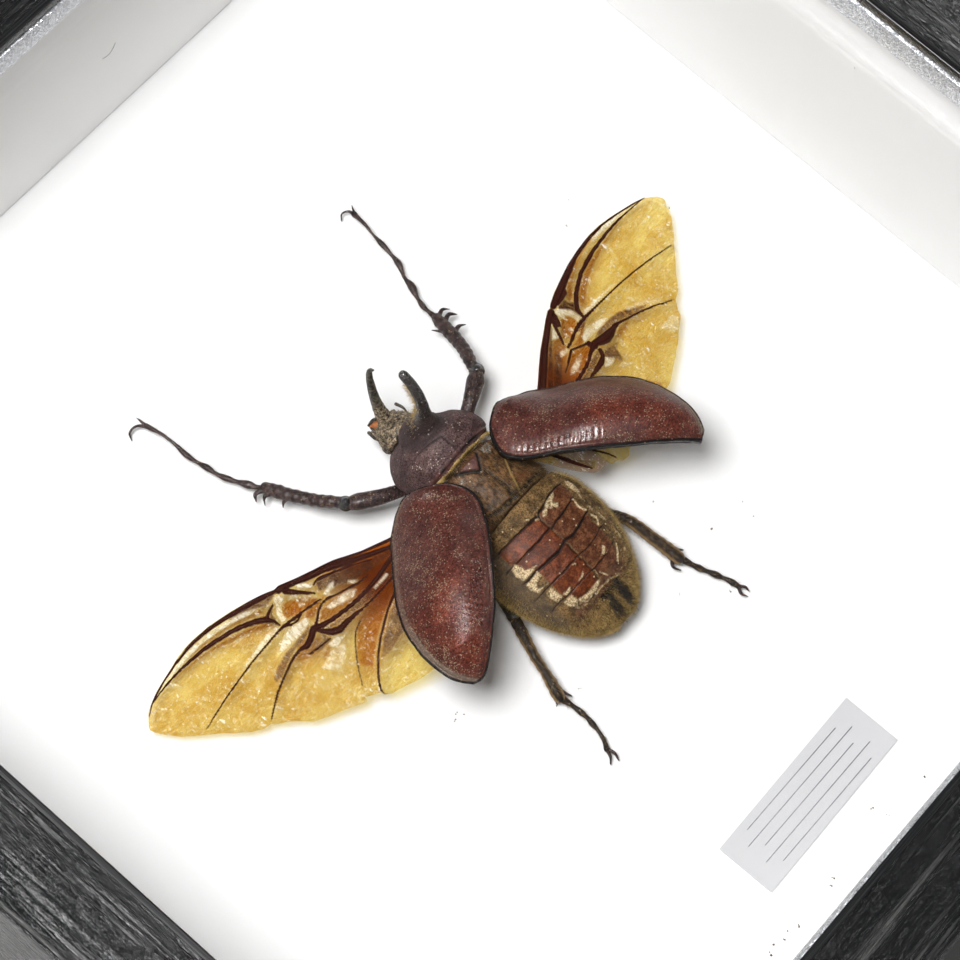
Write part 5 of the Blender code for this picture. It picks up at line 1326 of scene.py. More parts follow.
def make_room():
    """A pale floor, the room's light, the lamps and the camera."""
    scene = bpy.context.scene
    scene.view_settings.view_transform = "Standard"
    floor_paint = Paint("floor")
    tone = floor_paint.mix(floor_paint.noise(30.0, 3), (0.62, 0.61, 0.6), (0.66, 0.65, 0.64))
    floor = Shape().add([(-900, -900, 0), (900, -900, 0), (900, 900, 0), (-900, 900, 0)], [(0, 1, 2, 3)])
    ground = bpy.data.objects.new("floor", mesh_of("floor", floor))
    ground.data.materials.append(floor_paint.end(floor_paint.surface(tone, 0.8)))
    scene.collection.objects.link(ground)

    world = bpy.data.worlds.new("studio")
    world.use_nodes = True
    tree = world.node_tree
    backdrop = tree.nodes["Background"]
    backdrop.inputs["Color"].default_value = (0.95, 0.97, 1.0, 1.0)
    facing = tree.nodes.new("ShaderNodeTexCoord")
    split = tree.nodes.new("ShaderNodeSeparateXYZ")
    bright = tree.nodes.new("ShaderNodeMapRange")
    bright.inputs["From Min"].default_value = HORIZON_TOP
    bright.inputs["From Max"].default_value = 0.0
    bright.inputs["To Min"].default_value = WORLD_STRENGTH
    bright.inputs["To Max"].default_value = HORIZON_STRENGTH
    tree.links.new(facing.outputs["Generated"], split.inputs[0])
    tree.links.new(split.outputs["Z"], bright.inputs["Value"])
    tree.links.new(bright.outputs[0], backdrop.inputs["Strength"])
    scene.world = world

    for name, place, size, power in LAMPS:
        light = bpy.data.lights.new(name, "AREA")
        light.shape = "DISK"
        light.size = size
        light.energy = power
        lamp = bpy.data.objects.new(name, light)
        lamp.location = place
        lamp.rotation_euler = (Vector(LAMP_AIM) - Vector(place)).to_track_quat("-Z", "Y").to_euler()
        scene.collection.objects.link(lamp)

    lens = bpy.data.cameras.new("camera")
    lens.lens = CAMERA_LENS
    lens.sensor_width = SENSOR
    lens.clip_start = 0.01
    camera = bpy.data.objects.new("camera", lens)
    back, up = -Vector(CAMERA_AHEAD), Vector(CAMERA_UP)
    turned = Matrix((up.cross(back), up, back)).transposed().to_4x4()
    turned.translation = Vector(CAMERA_PLACE) * MM
    camera.matrix_world = turned
    scene.collection.objects.link(camera)
    scene.camera = camera


def chitin(name, dark, light, roughness, mottle=2.5, fine=0.26, depth=0.03, contrast=(0.25, 1.8)):
    """Hard shell: two close tones in soft clouds, broken up by a fine grain, and a black rim."""
    p = Paint(name)
    cloud = p.noise(mottle, 4, 0.55)
    tone = p.mix(p.fade(cloud, 0.35, 0.65), dark, light)
    tiny = p.noise(fine, 4, 0.7)
    grainy = p.between(p.fade(tiny, 0.33, 0.67), *contrast)
    tone = p.mix(1.0, tone, grainy, "MULTIPLY")
    tone = p.mix(p.mark("rim"), tone, (0.008, 0.007, 0.007))
    dots = p.fade(p.cells(fine * 1.2), 0.05, 0.45)
    relief = p.math("ADD", dots, p.math("MULTIPLY", tiny, 0.9))
    gloss = p.between(p.mark("rim"), roughness, 0.26)
    return p, tone, gloss, p.bump(relief, depth)


def elytra_paint():
    """Maroon shell with a fine grain, tan dust, a painted reddish sheen over the rear half and a black rim.
    """
    p, tone, gloss, relief = chitin("elytra_shell", (0.053, 0.0136, 0.0106), (0.088, 0.0262, 0.0184), 0.36)
    # The red mark is a painted sheen: the shell lighter and redder there
    tone = p.mix(p.mark("red"), tone, p.mix(1.0, tone, (1.3, 1.0, 0.8), "MULTIPLY"))
    tone = p.mix(p.mark("grey"), tone, (0.15, 0.12, 0.095))
    dust = p.mark("dust")
    dense = p.speckle(0.19, p.math("MULTIPLY", dust, 0.7), 0.5)
    few = p.speckle(0.26, p.math("ADD", 0.04, p.math("MULTIPLY", dust, 0.2)), 0.42)
    haze = p.math("MULTIPLY", dust, p.math("MULTIPLY", p.fade(p.noise(0.3, 4, 0.7), 0.45, 0.7), 0.35))
    dusty = p.math("MAXIMUM", p.math("MAXIMUM", dense, few), haze)
    tone = p.mix(p.math("MULTIPLY", dusty, 0.8), tone, (0.33, 0.24, 0.16))
    gloss = p.between(p.mark("wave"), gloss, 0.24)
    shine = p.between(p.mark("wave"), 0.16, 0.9)
    return p.end(p.surface(tone, p.between(dusty, gloss, 0.8), relief, Specular_IOR_Level=shine))


def pronotum_paint():
    """Matt purple-brown shell with a fine grain, pale specks and a black hind edge, with painted shade
    round the horn's foot, in the crease and down the far left side, and a plateau painted paler, partly as
    painted light.
    """
    dark, light = (0.052, 0.0285, 0.0275), (0.096, 0.057, 0.053)
    p, tone, gloss, relief = chitin("pronotum_shell", dark, light, 0.6, 1.6, 0.24, 0.04)
    # The plateau is painted paler: partly its own tone, partly painted light on the flank facing the lamp
    tone = p.mix(p.mark("bare"), tone, p.mix(1.0, tone, (1.5, 1.65, 1.65), "MULTIPLY"))
    # The shade mark is painted shade: darker round the horn's foot, along the crease and down the far left
    # side
    tone = p.mix(p.mark("shade"), tone, (0.028, 0.02, 0.02))
    scarred = p.fade(p.noise(0.24, 4, 0.65), 0.4, 0.65)
    tone = p.mix(p.mark("horn"), tone, p.mix(scarred, (0.015, 0.013, 0.013), (0.05, 0.043, 0.038)))
    tone = p.mix(p.mark("flush"), tone, (0.15, 0.05, 0.04))
    spots = p.speckle(0.28, p.math("ADD", 0.03, p.math("MULTIPLY", p.mark("flecks"), 0.6)), 0.4)
    tone = p.mix(spots, tone, (0.42, 0.34, 0.28))
    shine = p.between(p.mark("horn"), 0.1, 0.6)
    return p.end(p.surface(tone, p.between(p.mark("horn"), gloss, 0.26), relief, Specular_IOR_Level=shine))


def head_paint():
    """Grey-brown grainy shell, near black on the horn, with red-brown eyes and mouthparts, dark feelers,
    and painted shade round the eyes, in a hollow and at the back of the head.
    """
    dark, light = (0.016, 0.011, 0.008), (0.3, 0.23, 0.15)
    p, tone, gloss, relief = chitin("head_shell", dark, light, 0.5, 0.45, 0.25, 0.06, (0.15, 2.0))
    horn = p.mix(p.fade(p.noise(0.5, 4, 0.7), 0.44, 0.6), (0.014, 0.013, 0.013), (0.12, 0.1, 0.065))
    tone = p.mix(p.mark("horn"), tone, horn)
    tone = p.mix(p.mark("eye"), tone, (0.1, 0.028, 0.014))
    # The shade mark is painted shade in the eye grooves, the hollow and the back of the head, and the own
    # dark colour of the feelers and mouth hook
    tone = p.mix(p.mark("shade"), tone, (0.012, 0.01, 0.009))
    tone = p.mix(p.mark("mouth"), tone, (0.34, 0.11, 0.03))
    return p.end(p.surface(tone, p.between(p.mark("eye"), gloss, 0.25), relief, Specular_IOR_Level=0.25))


def thorax_paint():
    """Brown matted back with black seams, a red-brown scutellum and a speckled grey patch; the seam black
    also stands as painted shade where the back tucks under the shield.
    """
    p = Paint("thorax_hairy")
    cloud = p.noise(1.2, 4, 0.6)
    fibre = p.noise(0.25, 4, 0.65, (1.0, 0.4, 1.0), 0.6)
    tone = p.mix(p.fade(cloud, 0.35, 0.65), (0.03, 0.0145, 0.006), (0.115, 0.056, 0.021))
    tone = p.mix(1.0, tone, p.between(p.fade(fibre, 0.35, 0.65), 0.25, 1.8), "MULTIPLY")
    tone = p.mix(p.math("MULTIPLY", p.mark("flush"), 0.7), tone, (0.17, 0.06, 0.02))
    tone = p.mix(p.mark("streak"), tone, (0.3, 0.19, 0.06))
    red = p.mix(p.fade(p.noise(0.3, 3), 0.4, 0.6), (0.055, 0.02, 0.015), (0.1, 0.04, 0.03))
    tone = p.mix(p.mark("red"), tone, red)
    speckled = p.math("MULTIPLY", p.mark("grey"), p.fade(p.noise(0.24, 3, 0.6), 0.42, 0.6))
    tone = p.mix(speckled, tone, (0.2, 0.2, 0.175))
    tone = p.mix(p.mark("seam"), tone, (0.008, 0.006, 0.005))
    tone = p.mix(p.speckle(0.4, 0.06, 0.34), tone, (0.34, 0.27, 0.18))
    return p.end(p.surface(tone, 0.5, p.bump(fibre, 0.06), Specular_IOR_Level=0.2))


def abdomen_paint():
    """Red-brown plates with dark seams and cream flakes, olive and matted towards the margins, with the
    left margin greyer and darker as painted shade under the left wing case.
    """
    p = Paint("abdomen_shell")
    cloud = p.noise(1.4, 4, 0.6)
    fibre = p.noise(0.22, 4, 0.65)
    olive = p.mix(p.fade(cloud, 0.35, 0.65), (0.062, 0.036, 0.014), (0.185, 0.108, 0.042))
    olive = p.mix(1.0, olive, p.between(p.fade(fibre, 0.35, 0.65), 0.35, 1.6), "MULTIPLY")
    # The grey mark is painted shade: the left margin greyer and darker, under the left wing case
    olive = p.mix(p.math("MULTIPLY", p.mark("grey"), 0.6), olive, (0.07, 0.055, 0.04))
    blotches = p.fade(p.noise(0.9, 4, 0.65), 0.38, 0.66)
    plate = p.mix(blotches, (0.056, 0.0125, 0.004), (0.15, 0.037, 0.01))
    deep = p.mix(blotches, (0.06, 0.02, 0.009), (0.16, 0.062, 0.027))
    plate = p.mix(p.mark("deep"), plate, deep)
    plate = p.mix(1.0, plate, p.between(p.fade(fibre, 0.35, 0.65), 0.55, 1.45), "MULTIPLY")
    tone = p.mix(p.mark("plate"), olive, plate)
    wine = p.mix(p.fade(cloud, 0.4, 0.6), (0.04, 0.016, 0.01), (0.11, 0.05, 0.026))
    tone = p.mix(p.mark("wine"), tone, wine)
    tone = p.mix(p.mark("seam"), tone, (0.01, 0.006, 0.005))
    flakes = p.math("MULTIPLY", p.mark("flake"), p.fade(p.noise(0.45, 5, 0.8), 0.38, 0.46))
    tone = p.mix(flakes, tone, p.mix(p.fade(fibre, 0.35, 0.65), (0.24, 0.15, 0.065), (0.82, 0.66, 0.4)))
    tone = p.mix(p.speckle(0.45, 0.06, 0.34), tone, (0.5, 0.38, 0.22))
    gloss = p.between(flakes, p.between(p.mark("plate"), 0.6, 0.4), 0.5)
    relief = p.bump(p.math("ADD", fibre, flakes), 0.05)
    return p.end(p.surface(tone, gloss, relief, Specular_IOR_Level=0.13))


def leg_paint():
    """Near-black shell with a purple-brown cast, fine pits and tan dust."""
    dark, light = (0.012, 0.0078, 0.0078), (0.052, 0.031, 0.028)
    p, tone, gloss, relief = chitin("leg_shell", dark, light, 0.32, 0.9, 0.26, 0.045, (0.2, 2.0))
    black = p.mix(p.noise(0.8, 3), (0.006, 0.0055, 0.005), (0.03, 0.022, 0.014))
    tone = p.mix(p.mark("black"), tone, black)
    dusty = p.mix(p.speckle(0.3, 0.1, 0.36), tone, (0.34, 0.25, 0.15))
    tone = p.mix(p.mark("knee"), dusty, (0.006, 0.0055, 0.0055))
    tone = p.mix(p.mark("tan"), tone, (0.27, 0.17, 0.075))
    gloss = p.between(p.mark("knee"), gloss, 0.12)
    shine = p.between(p.mark("knee"), p.between(p.mark("black"), 0.26, 0.08), 0.9)
    return p.end(p.surface(tone, gloss, relief, Specular_IOR_Level=shine))


def hair(name, dark, light):
    """Hair or dust in soft patches of two tones."""
    p = Paint(name)
    tone = p.mix(p.fade(p.noise(0.6, 2), 0.35, 0.65), dark, light)
    return p.end(p.surface(tone, 0.45))


def wing_paint():
    """Gold film that lets the board show through, with amber and brown fields, dark struts, pale folds that
    are partly painted highlights, painted white glints and a flap painted a duller beige that is partly
    painted shade.

    Light crosses the film's two faces, so each face takes the square root of the tint that is wanted.
    """
    p = Paint("wing_membrane")
    cloud = p.noise(3.4, 5, 0.65, None, 0.8)
    wrinkle = p.noise(0.7, 4, 0.65, (0.45, 1.0, 1.0), 1.2)
    thread = p.noise(0.22, 4, 0.7, (0.3, 1.0, 1.0), 0.6)
    crossing = p.noise(0.3, 4, 0.7, (1.0, 0.35, 1.0), 0.8)
    marks = {name: p.mark(name) for name in ("gold", "base", "amber", "brown", "pale", "beige")}
    marks["dark"] = p.fade(p.mark("dark"), 0.2, 0.55)
    cloudy, threads = p.fade(cloud, 0.35, 0.65), p.fade(thread, 0.42, 0.6)
    tint = p.mix(cloudy, (0.96, 0.9, 0.61), (0.9, 0.79, 0.43))
    tint = p.mix(p.math("MULTIPLY", p.fade(wrinkle, 0.5, 0.62), 0.6), tint, (0.99, 0.95, 0.78))
    tint = p.mix(p.math("MULTIPLY", p.fade(thread, 0.5, 0.4), 0.6), tint, (0.78, 0.6, 0.24))
    body = p.mix(cloudy, (0.78, 0.55, 0.17), (0.62, 0.38, 0.11))
    solid = p.between(threads, 0.05, 0.25)
    fields = {
        "gold": ((0.97, 0.91, 0.62), (0.85, 0.68, 0.28), 0.1),
        "base": ((0.68, 0.32, 0.07), (0.2, 0.06, 0.012), 0.2),
        "amber": ((0.74, 0.42, 0.11), (0.36, 0.13, 0.022), 0.12),
        "brown": ((0.36, 0.13, 0.05), (0.07, 0.018, 0.007), 0.6),
        # pale: partly the film's own pale folds, partly painted highlights
        "pale": ((0.98, 0.97, 0.9), (0.95, 0.88, 0.7), 0.45),
        # The flap: a duller, more solid beige-brown, partly painted shade from the wing case above
        "beige": ((0.7, 0.58, 0.42), (0.3, 0.2, 0.12), 0.8),
        "dark": ((0.24, 0.07, 0.04), (0.04, 0.0095, 0.005), 0.97),
    }
    for name, (clear, filled, share) in fields.items():
        here = marks[name]
        if name in ("gold", "amber"):
            here = p.math("MULTIPLY", here, p.between(p.fade(thread, 0.4, 0.58), 0.3, 1.1), clamp=True)
        if name in ("brown", "pale"):
            here = p.math("MULTIPLY", here, p.between(p.fade(crossing, 0.36, 0.56), 0.45, 1.15), clamp=True)
        tint = p.mix(here, tint, clear)
        body = p.mix(here, body, filled)
        solid = p.between(here, solid, share)
    # Painted glints: near-white specks and flecks standing in for light caught on the film's wrinkles
    flecks = p.math("MULTIPLY", p.fade(crossing, 0.57, 0.64), p.fade(p.noise(1.6, 3), 0.42, 0.55))
    painted_glints = p.math("MAXIMUM", p.speckle(0.3, 0.12, 0.36), flecks)
    for name in ("dark", "brown", "base"):
        painted_glints = p.math("MULTIPLY", painted_glints, p.math("SUBTRACT", 1.0, marks[name]), clamp=True)
    body = p.mix(painted_glints, body, (1.0, 0.97, 0.86))
    tint = p.mix(painted_glints, tint, (1.0, 0.98, 0.9))
    solid = p.math("MAXIMUM", solid, p.math("MULTIPLY", painted_glints, 0.6))
    relief = p.math("ADD", wrinkle, p.math("MULTIPLY", thread, 0.9))
    deep = p.math("MAXIMUM", marks["dark"], p.math("MAXIMUM", marks["brown"], marks["base"]))
    deep = p.math("MAXIMUM", deep, p.math("MULTIPLY", marks["amber"], 0.85))
    shine = p.between(deep, 0.7, 0.06)
    surface = p.surface(body, 0.22, p.bump(relief, 0.12), Specular_IOR_Level=shine)
    clear = p.add("BsdfTransparent", {"Color": tint})
    return p.end(p.add("MixShader", {0: solid, 1: clear, 2: surface}))


def blot(points, outline, soft=0.15):
    """1 inside a closed outline of (u, v), 0 outside, smooth over that width at its edge."""
    p = np.asarray(points, float)[:, :2]
    line = list(outline) + [outline[0]]
    inside = np.zeros(len(p), bool)
    for (x0, y0), (x1, y1) in zip(line[:-1], line[1:]):
        crosses = (y0 > p[:, 1]) != (y1 > p[:, 1])
        at = x0 + (p[:, 1] - y0) * (x1 - x0) / (y1 - y0 + 1e-12)
        inside ^= crosses & (p[:, 0] < at)
    away = strip(p, [(x, y, 1.0) for x, y in line])
    return fade(np.where(inside, away, -away), -soft, soft)


def highest(layers):
    """The largest value of several layers at each point."""
    return np.max(np.stack(list(layers)), axis=0)


def make_pronotum(paint):
    """The shield with its horn grown out of it, a creased plateau at the left and a beaded hind edge."""
    body = hull_of(PRONOTUM_RINGS, 60, 90, keel=1.0, arch=1.3)
    body.add(*tube(chain(PRONOTUM_HORN, 60), 28))
    skin = melted(body, voxel=0.14, rounds=5)
    skin.points += SHIELD_SHIFT
    skin.points[:, 0] *= 1 + 0.07 * fade(skin.points[:, 0], 1.5, 4.5) * fade(skin.points[:, 1], 9.5, 7.5)
    u, v, h = skin.points.T
    normals = normals_of(skin)
    up = fade(normals[:, 2], -0.1, 0.5)
    plateau = blot(skin.points, SHIELD_PLATEAU, 0.2) * up
    crease = np.exp(-strip(skin.points, SHIELD_CREASE) ** 2) * up
    lobe = -0.3 * np.exp(-((u - 2.9 - 0.25 * (v - 6)) / 0.8) ** 2)
    lobe = lobe * fade(v, 2.6, 4.6) * fade(v, 9.5, 8.0) * up
    bead = np.exp(-((v - 2.5) / 0.22) ** 2) - np.exp(-((v - 2.95) / 0.16) ** 2)
    swell = lobe + 0.12 * plateau - 0.16 * crease + 0.14 * bead * fade(normals[:, 1], 0.2, -0.3)
    swell += 0.06 * grain(skin.points, 1.3, 1) + (0.02 + 0.02 * plateau) * grain(skin.points, 0.42, 23)
    skin.points += normals * swell[:, None]
    horn = fade(h, 14.6, 18.6)
    foot = np.hypot(u + 0.9, (v - 8.2) * 1.1)
    skin.marks["horn"] = horn
    patchy = fade(grain(skin.points, 2.4, 28), -1.2, 0.1)
    # Paler plateau: partly its own tone, partly painted light on the flank facing the lamp
    skin.marks["bare"] = plateau * (1 - horn) * fade(u, -6.2, -1.4) * patchy
    # Painted shade: darker round the horn's foot, along the crease and towards the left margin
    shade = 0.8 * fade(foot, 4.4, 2.2) * fade(v, 4.6, 6.6) + 0.8 * crease + 0.45 * fade(u, -4.6, -6.8)
    skin.marks["shade"] = np.clip(shade, 0, 1) * (1 - horn)
    behind = fade(v, 3.4, 2.6) * fade(h, 7.0, 12.0)
    beside = fade(u, 4.6, 5.6) * fade(np.abs(v - 5.4), 1.2, 0.5)
    flush = highest([behind, beside])
    skin.marks["flush"] = 0.4 * flush * fade(grain(skin.points, 1.2, 2), -0.3, 0.4)
    skin.marks["flecks"] = highest(fade(strip(skin.points, line), 1.4, 0.5) for line in SHIELD_FLECKS) * up
    hind_edge = fade(np.abs(v - 2.5), 0.3, 0.12)
    skin.marks["rim"] = hind_edge * fade(normals[:, 1], 0.3, -0.3) * fade(h, 5.0, 8.0)
    return piece("pronotum_and_horn", skin, [paint], ["pronotum"])


def make_head(paint):
    """Head, horn, eyes, mouthparts and feelers."""
    body = hull_of(HEAD_RINGS, 50, 80, HEAD_KEEL)
    body.add(*tube(chain(HEAD_HORN, 60), 26))
    for side in (-1, 1):
        eye = [(side * 2.45, 12.2, 5.1, 0.75), (side * 2.6, 11.7, 5.2, 0.95), (side * 2.5, 11.2, 5.3, 0.8)]
        body.add(*tube(chain(eye, 8), 20))
        body.add(*tube(chain([(side * 1.2, 13.9, 4.4, 0.8), (side * 1.9, 14.6, 4.3, 0.6)], 6), 16))
    skin = melted(body, voxel=0.12, rounds=4)
    skin.points += SHIELD_SHIFT
    u, v, h = skin.points.T
    normals = normals_of(skin)
    onhead = fade(h, 9.0, 7.0)
    rough = grain(skin.points, 0.5, 3) + 0.6 * grain(skin.points, 0.22, 4)
    from_eye = np.abs(u - SHIELD_SHIFT[0]) - EYE[0], v - EYE[1], h - EYE[2]
    aside, ahead, above = (away / size for away, size in zip(from_eye, EYE_SIZE))
    eye = np.exp(-(aside**2 + ahead**2 + above**2) ** 2)
    ring_round = np.exp(-(((np.hypot(*from_eye[:2]) - EYE_RING) / 0.2) ** 2)) * onhead
    hollow = np.exp(-((u + 0.6) / 0.9) ** 2 - ((v - 12.9) / 0.9) ** 2) * onhead
    swell = 0.1 * rough * (0.25 + 0.75 * onhead) * (1 - eye) - 0.12 * ring_round - 0.2 * hollow
    skin.points += normals * swell[:, None]
    skin.marks["horn"] = fade(h, 8.0, 10.5)
    skin.marks["eye"] = eye
    # Painted shade: the groove round each eye, the hollow and the back of the head under the shield
    shade = 0.8 * ring_round + 0.7 * hollow + 0.6 * fade(v, 10.9, 10.4)
    skin.marks["shade"] = np.clip(shade, 0, 1) * (1 - eye)
    skin.add(*tube(chain(PALP, 16), 14), mouth=0.9)
    skin.add(*tube(chain(MOUTH_HOOK, 10), 10), shade=0.9)
    for line in FEELERS:
        skin.add(*tube(chain(line, 16), 10), shade=0.8)
    return piece("head_and_horn", skin, [paint], ["head"])


def make_thorax(paint):
    """The back between the wings: a scutellum, two hairy lobes, a ridge, a groove and a hind band."""
    skin = melted(hull_of(THORAX_RINGS, 50, 110, BODY_KEEL), voxel=0.16, rounds=2)
    u, v = skin.points.T[:2]
    normals = normals_of(skin)
    up = fade(normals[:, 2], 0.2, 0.7)
    shield = blot(skin.points, SCUTELLUM) * up
    line = fade(strip(skin.points, SCUTELLUM_EDGE), 1.3, 0.7) * up
    groove = fade(strip(skin.points, BACK_GROOVE), 1.4, 0.5) * up
    ridge = fade(strip(skin.points, BACK_RIDGE), 1.5, 0.2) * up
    band = fade(strip(skin.points, BACK_SEAM), 1.4, 0.5) * up
    lobes = np.exp(-((np.abs(u - 0.3) - 2.4) / 1.6) ** 2) * np.exp(-((v + 3.2) / 1.7) ** 2) * up
    # The strip that tucks under the shield's hind edge is sunk, and blackened below as painted shade
    behind = fade(v, 1.1, 1.5) * up
    swell = 0.3 * shield - 0.2 * line - 0.35 * groove + 0.2 * ridge
    swell = swell - 0.35 * band + 0.2 * lobes - 0.2 * behind
    swell += 0.14 * grain(skin.points, 0.8, 5) + 0.07 * grain(skin.points, 0.35, 24)
    skin.points += normals * swell[:, None]
    skin.marks["red"] = shield
    # The seam mark holds dark seam lines and, through behind, painted shade under the shield's edge
    skin.marks["seam"] = np.clip(line + groove + 0.95 * band + 0.7 * behind, 0, 1)
    grey = np.exp(-((u + 3.0) / 0.3) ** 2 - ((v + 0.2) / 0.25) ** 2)
    skin.marks["grey"] = highest([blot(skin.points, BACK_GREY), grey]) * up
    skin.marks["streak"] = fade(strip(skin.points, BACK_STREAK), 1.6, 0.4) * up
    skin.marks["flush"] = blot(skin.points, BACK_FLUSH, 0.4) * up * 0.8
    return piece("thorax_back", skin, [paint], ["thorax"])


def make_abdomen(paint):
    """Plates that overlap rearwards, split by a middle seam, with flaking margins and matted sides."""
    rows, over, under = 250, 210, 70
    angles = np.concatenate([
        np.linspace(0, np.pi, over, endpoint=False),
        np.linspace(np.pi, 2 * np.pi, under, endpoint=False),
    ])
    stations = chain(ABDOMEN_RINGS, rows)
    points = np.vstack([ring(station, angles, BODY_KEEL) for station in stations])
    skin = Shape().add(points, capped(rows, over + under))
    skin.points += ABDOMEN_SHIFT
    u, v = skin.points.T[:2]
    normals = normals_of(skin)
    up = fade(normals[:, 2], 0.0, 0.5)
    wobble = 0.12 * grain(skin.points, 0.8, 7)
    seam, step = np.zeros(len(u)), np.zeros(len(u))
    for line in PLATE_EDGES:
        edge = np.array(line)
        own_side = (u < -0.1) if edge[0, 0] < -1 else (u >= -0.1)
        past = v - np.interp(u, edge[:, 0], edge[:, 1]) + wobble
        reach = 0.5 * np.ptp(edge[:, 0])
        within = fade(np.abs(u - edge[:, 0].mean()), reach + 0.9, reach + 0.1) * own_side * up
        wide = np.interp(u, edge[:, 0], edge[:, 2])
        seam = np.maximum(seam, fade(np.abs(past + 0.5 * wide), 1.5 * wide, 0.5 * wide) * within)
        step += 0.26 * np.exp(-np.clip(past, 0, 9) / 0.9) * fade(past, -0.08, 0.04) * within
    left, right = blot(skin.points, PLATES_LEFT), blot(skin.points, PLATES_RIGHT)
    plates = np.maximum(left, right) * up
    middle = np.exp(-((u + 0.1 - wobble) / 0.1) ** 2) * fade(v, -22.2, -21.6) * fade(v, -9.9, -10.4) * up
    flake = highest([blot(skin.points, outline, 0.12) for outline in FLAKES]
                    + [fade(strip(skin.points, line), 1.4, 0.6) for line in FLAKE_FOLDS]) * up
    folds = highest(fade(strip(skin.points, line), 1.5, 0.3) for line in REAR_FOLDS + [SIDE_FOLD]) * up
    wine = fade(v, -21.6, -22.0) * fade(v, -23.6, -23.1) * fade(np.abs(u + 0.5), 5.4, 4.4) * up
    tail = fade(np.abs(v + 23.7), 0.55, 0.25) * fade(np.abs(u - 0.2), 2.2, 1.6) * up
    matted = (1 - plates) * (0.09 * grain(skin.points, 0.6, 9) + 0.07 * grain(skin.points, 0.28, 10))
    curled = flake * (0.1 + 0.16 * grain(skin.points, 0.5, 25))
    swell = step - 0.2 * seam - 0.12 * middle + matted + curled + 0.16 * folds - 0.15 * tail
    swell += 0.05 * grain(skin.points, 1.6, 26) * plates
    skin.points += normals * swell[:, None]
    skin.marks["plate"] = plates * (1 - wine)
    skin.marks["deep"] = right
    skin.marks["wine"] = wine * (1 - folds)
    # Painted shade on the left margin, under the left wing case
    skin.marks["grey"] = fade(u, -6.2, -7.2) * up
    skin.marks["seam"] = np.clip(seam + 0.9 * middle + tail, 0, 1) * (1 - flake)
    skin.marks["flake"] = np.clip(flake + 0.6 * folds * fade(grain(skin.points, 0.7, 8), -0.1, 0.3), 0, 1)
    return piece("abdomen_plates", skin, [paint], ["abdomen"])


def plate(top, bottom, flip, **marks):
    """A thin closed plate between two grids of points with the same rows and columns."""
    rows, columns = top.shape[:2]
    count = rows * columns
    upper = lattice(rows, columns)
    faces = [face[::-1] for face in upper] + [tuple(i + count for i in face) for face in upper]
    rim = list(range(columns)) + [i * columns + columns - 1 for i in range(1, rows)]
    rim += [(rows - 1) * columns + j for j in range(columns - 2, -1, -1)]
    rim += [i * columns for i in range(rows - 2, 0, -1)]
    for a, b in zip(rim, rim[1:] + rim[:1]):
        faces.append((a, b, b + count, a + count))
    if flip:
        faces = [face[::-1] for face in faces]
    both = {name: np.concatenate([values.ravel(), values.ravel()]) for name, values in marks.items()}
    return Shape().add(np.vstack([top.reshape(-1, 3), bottom.reshape(-1, 3)]), faces, **both)


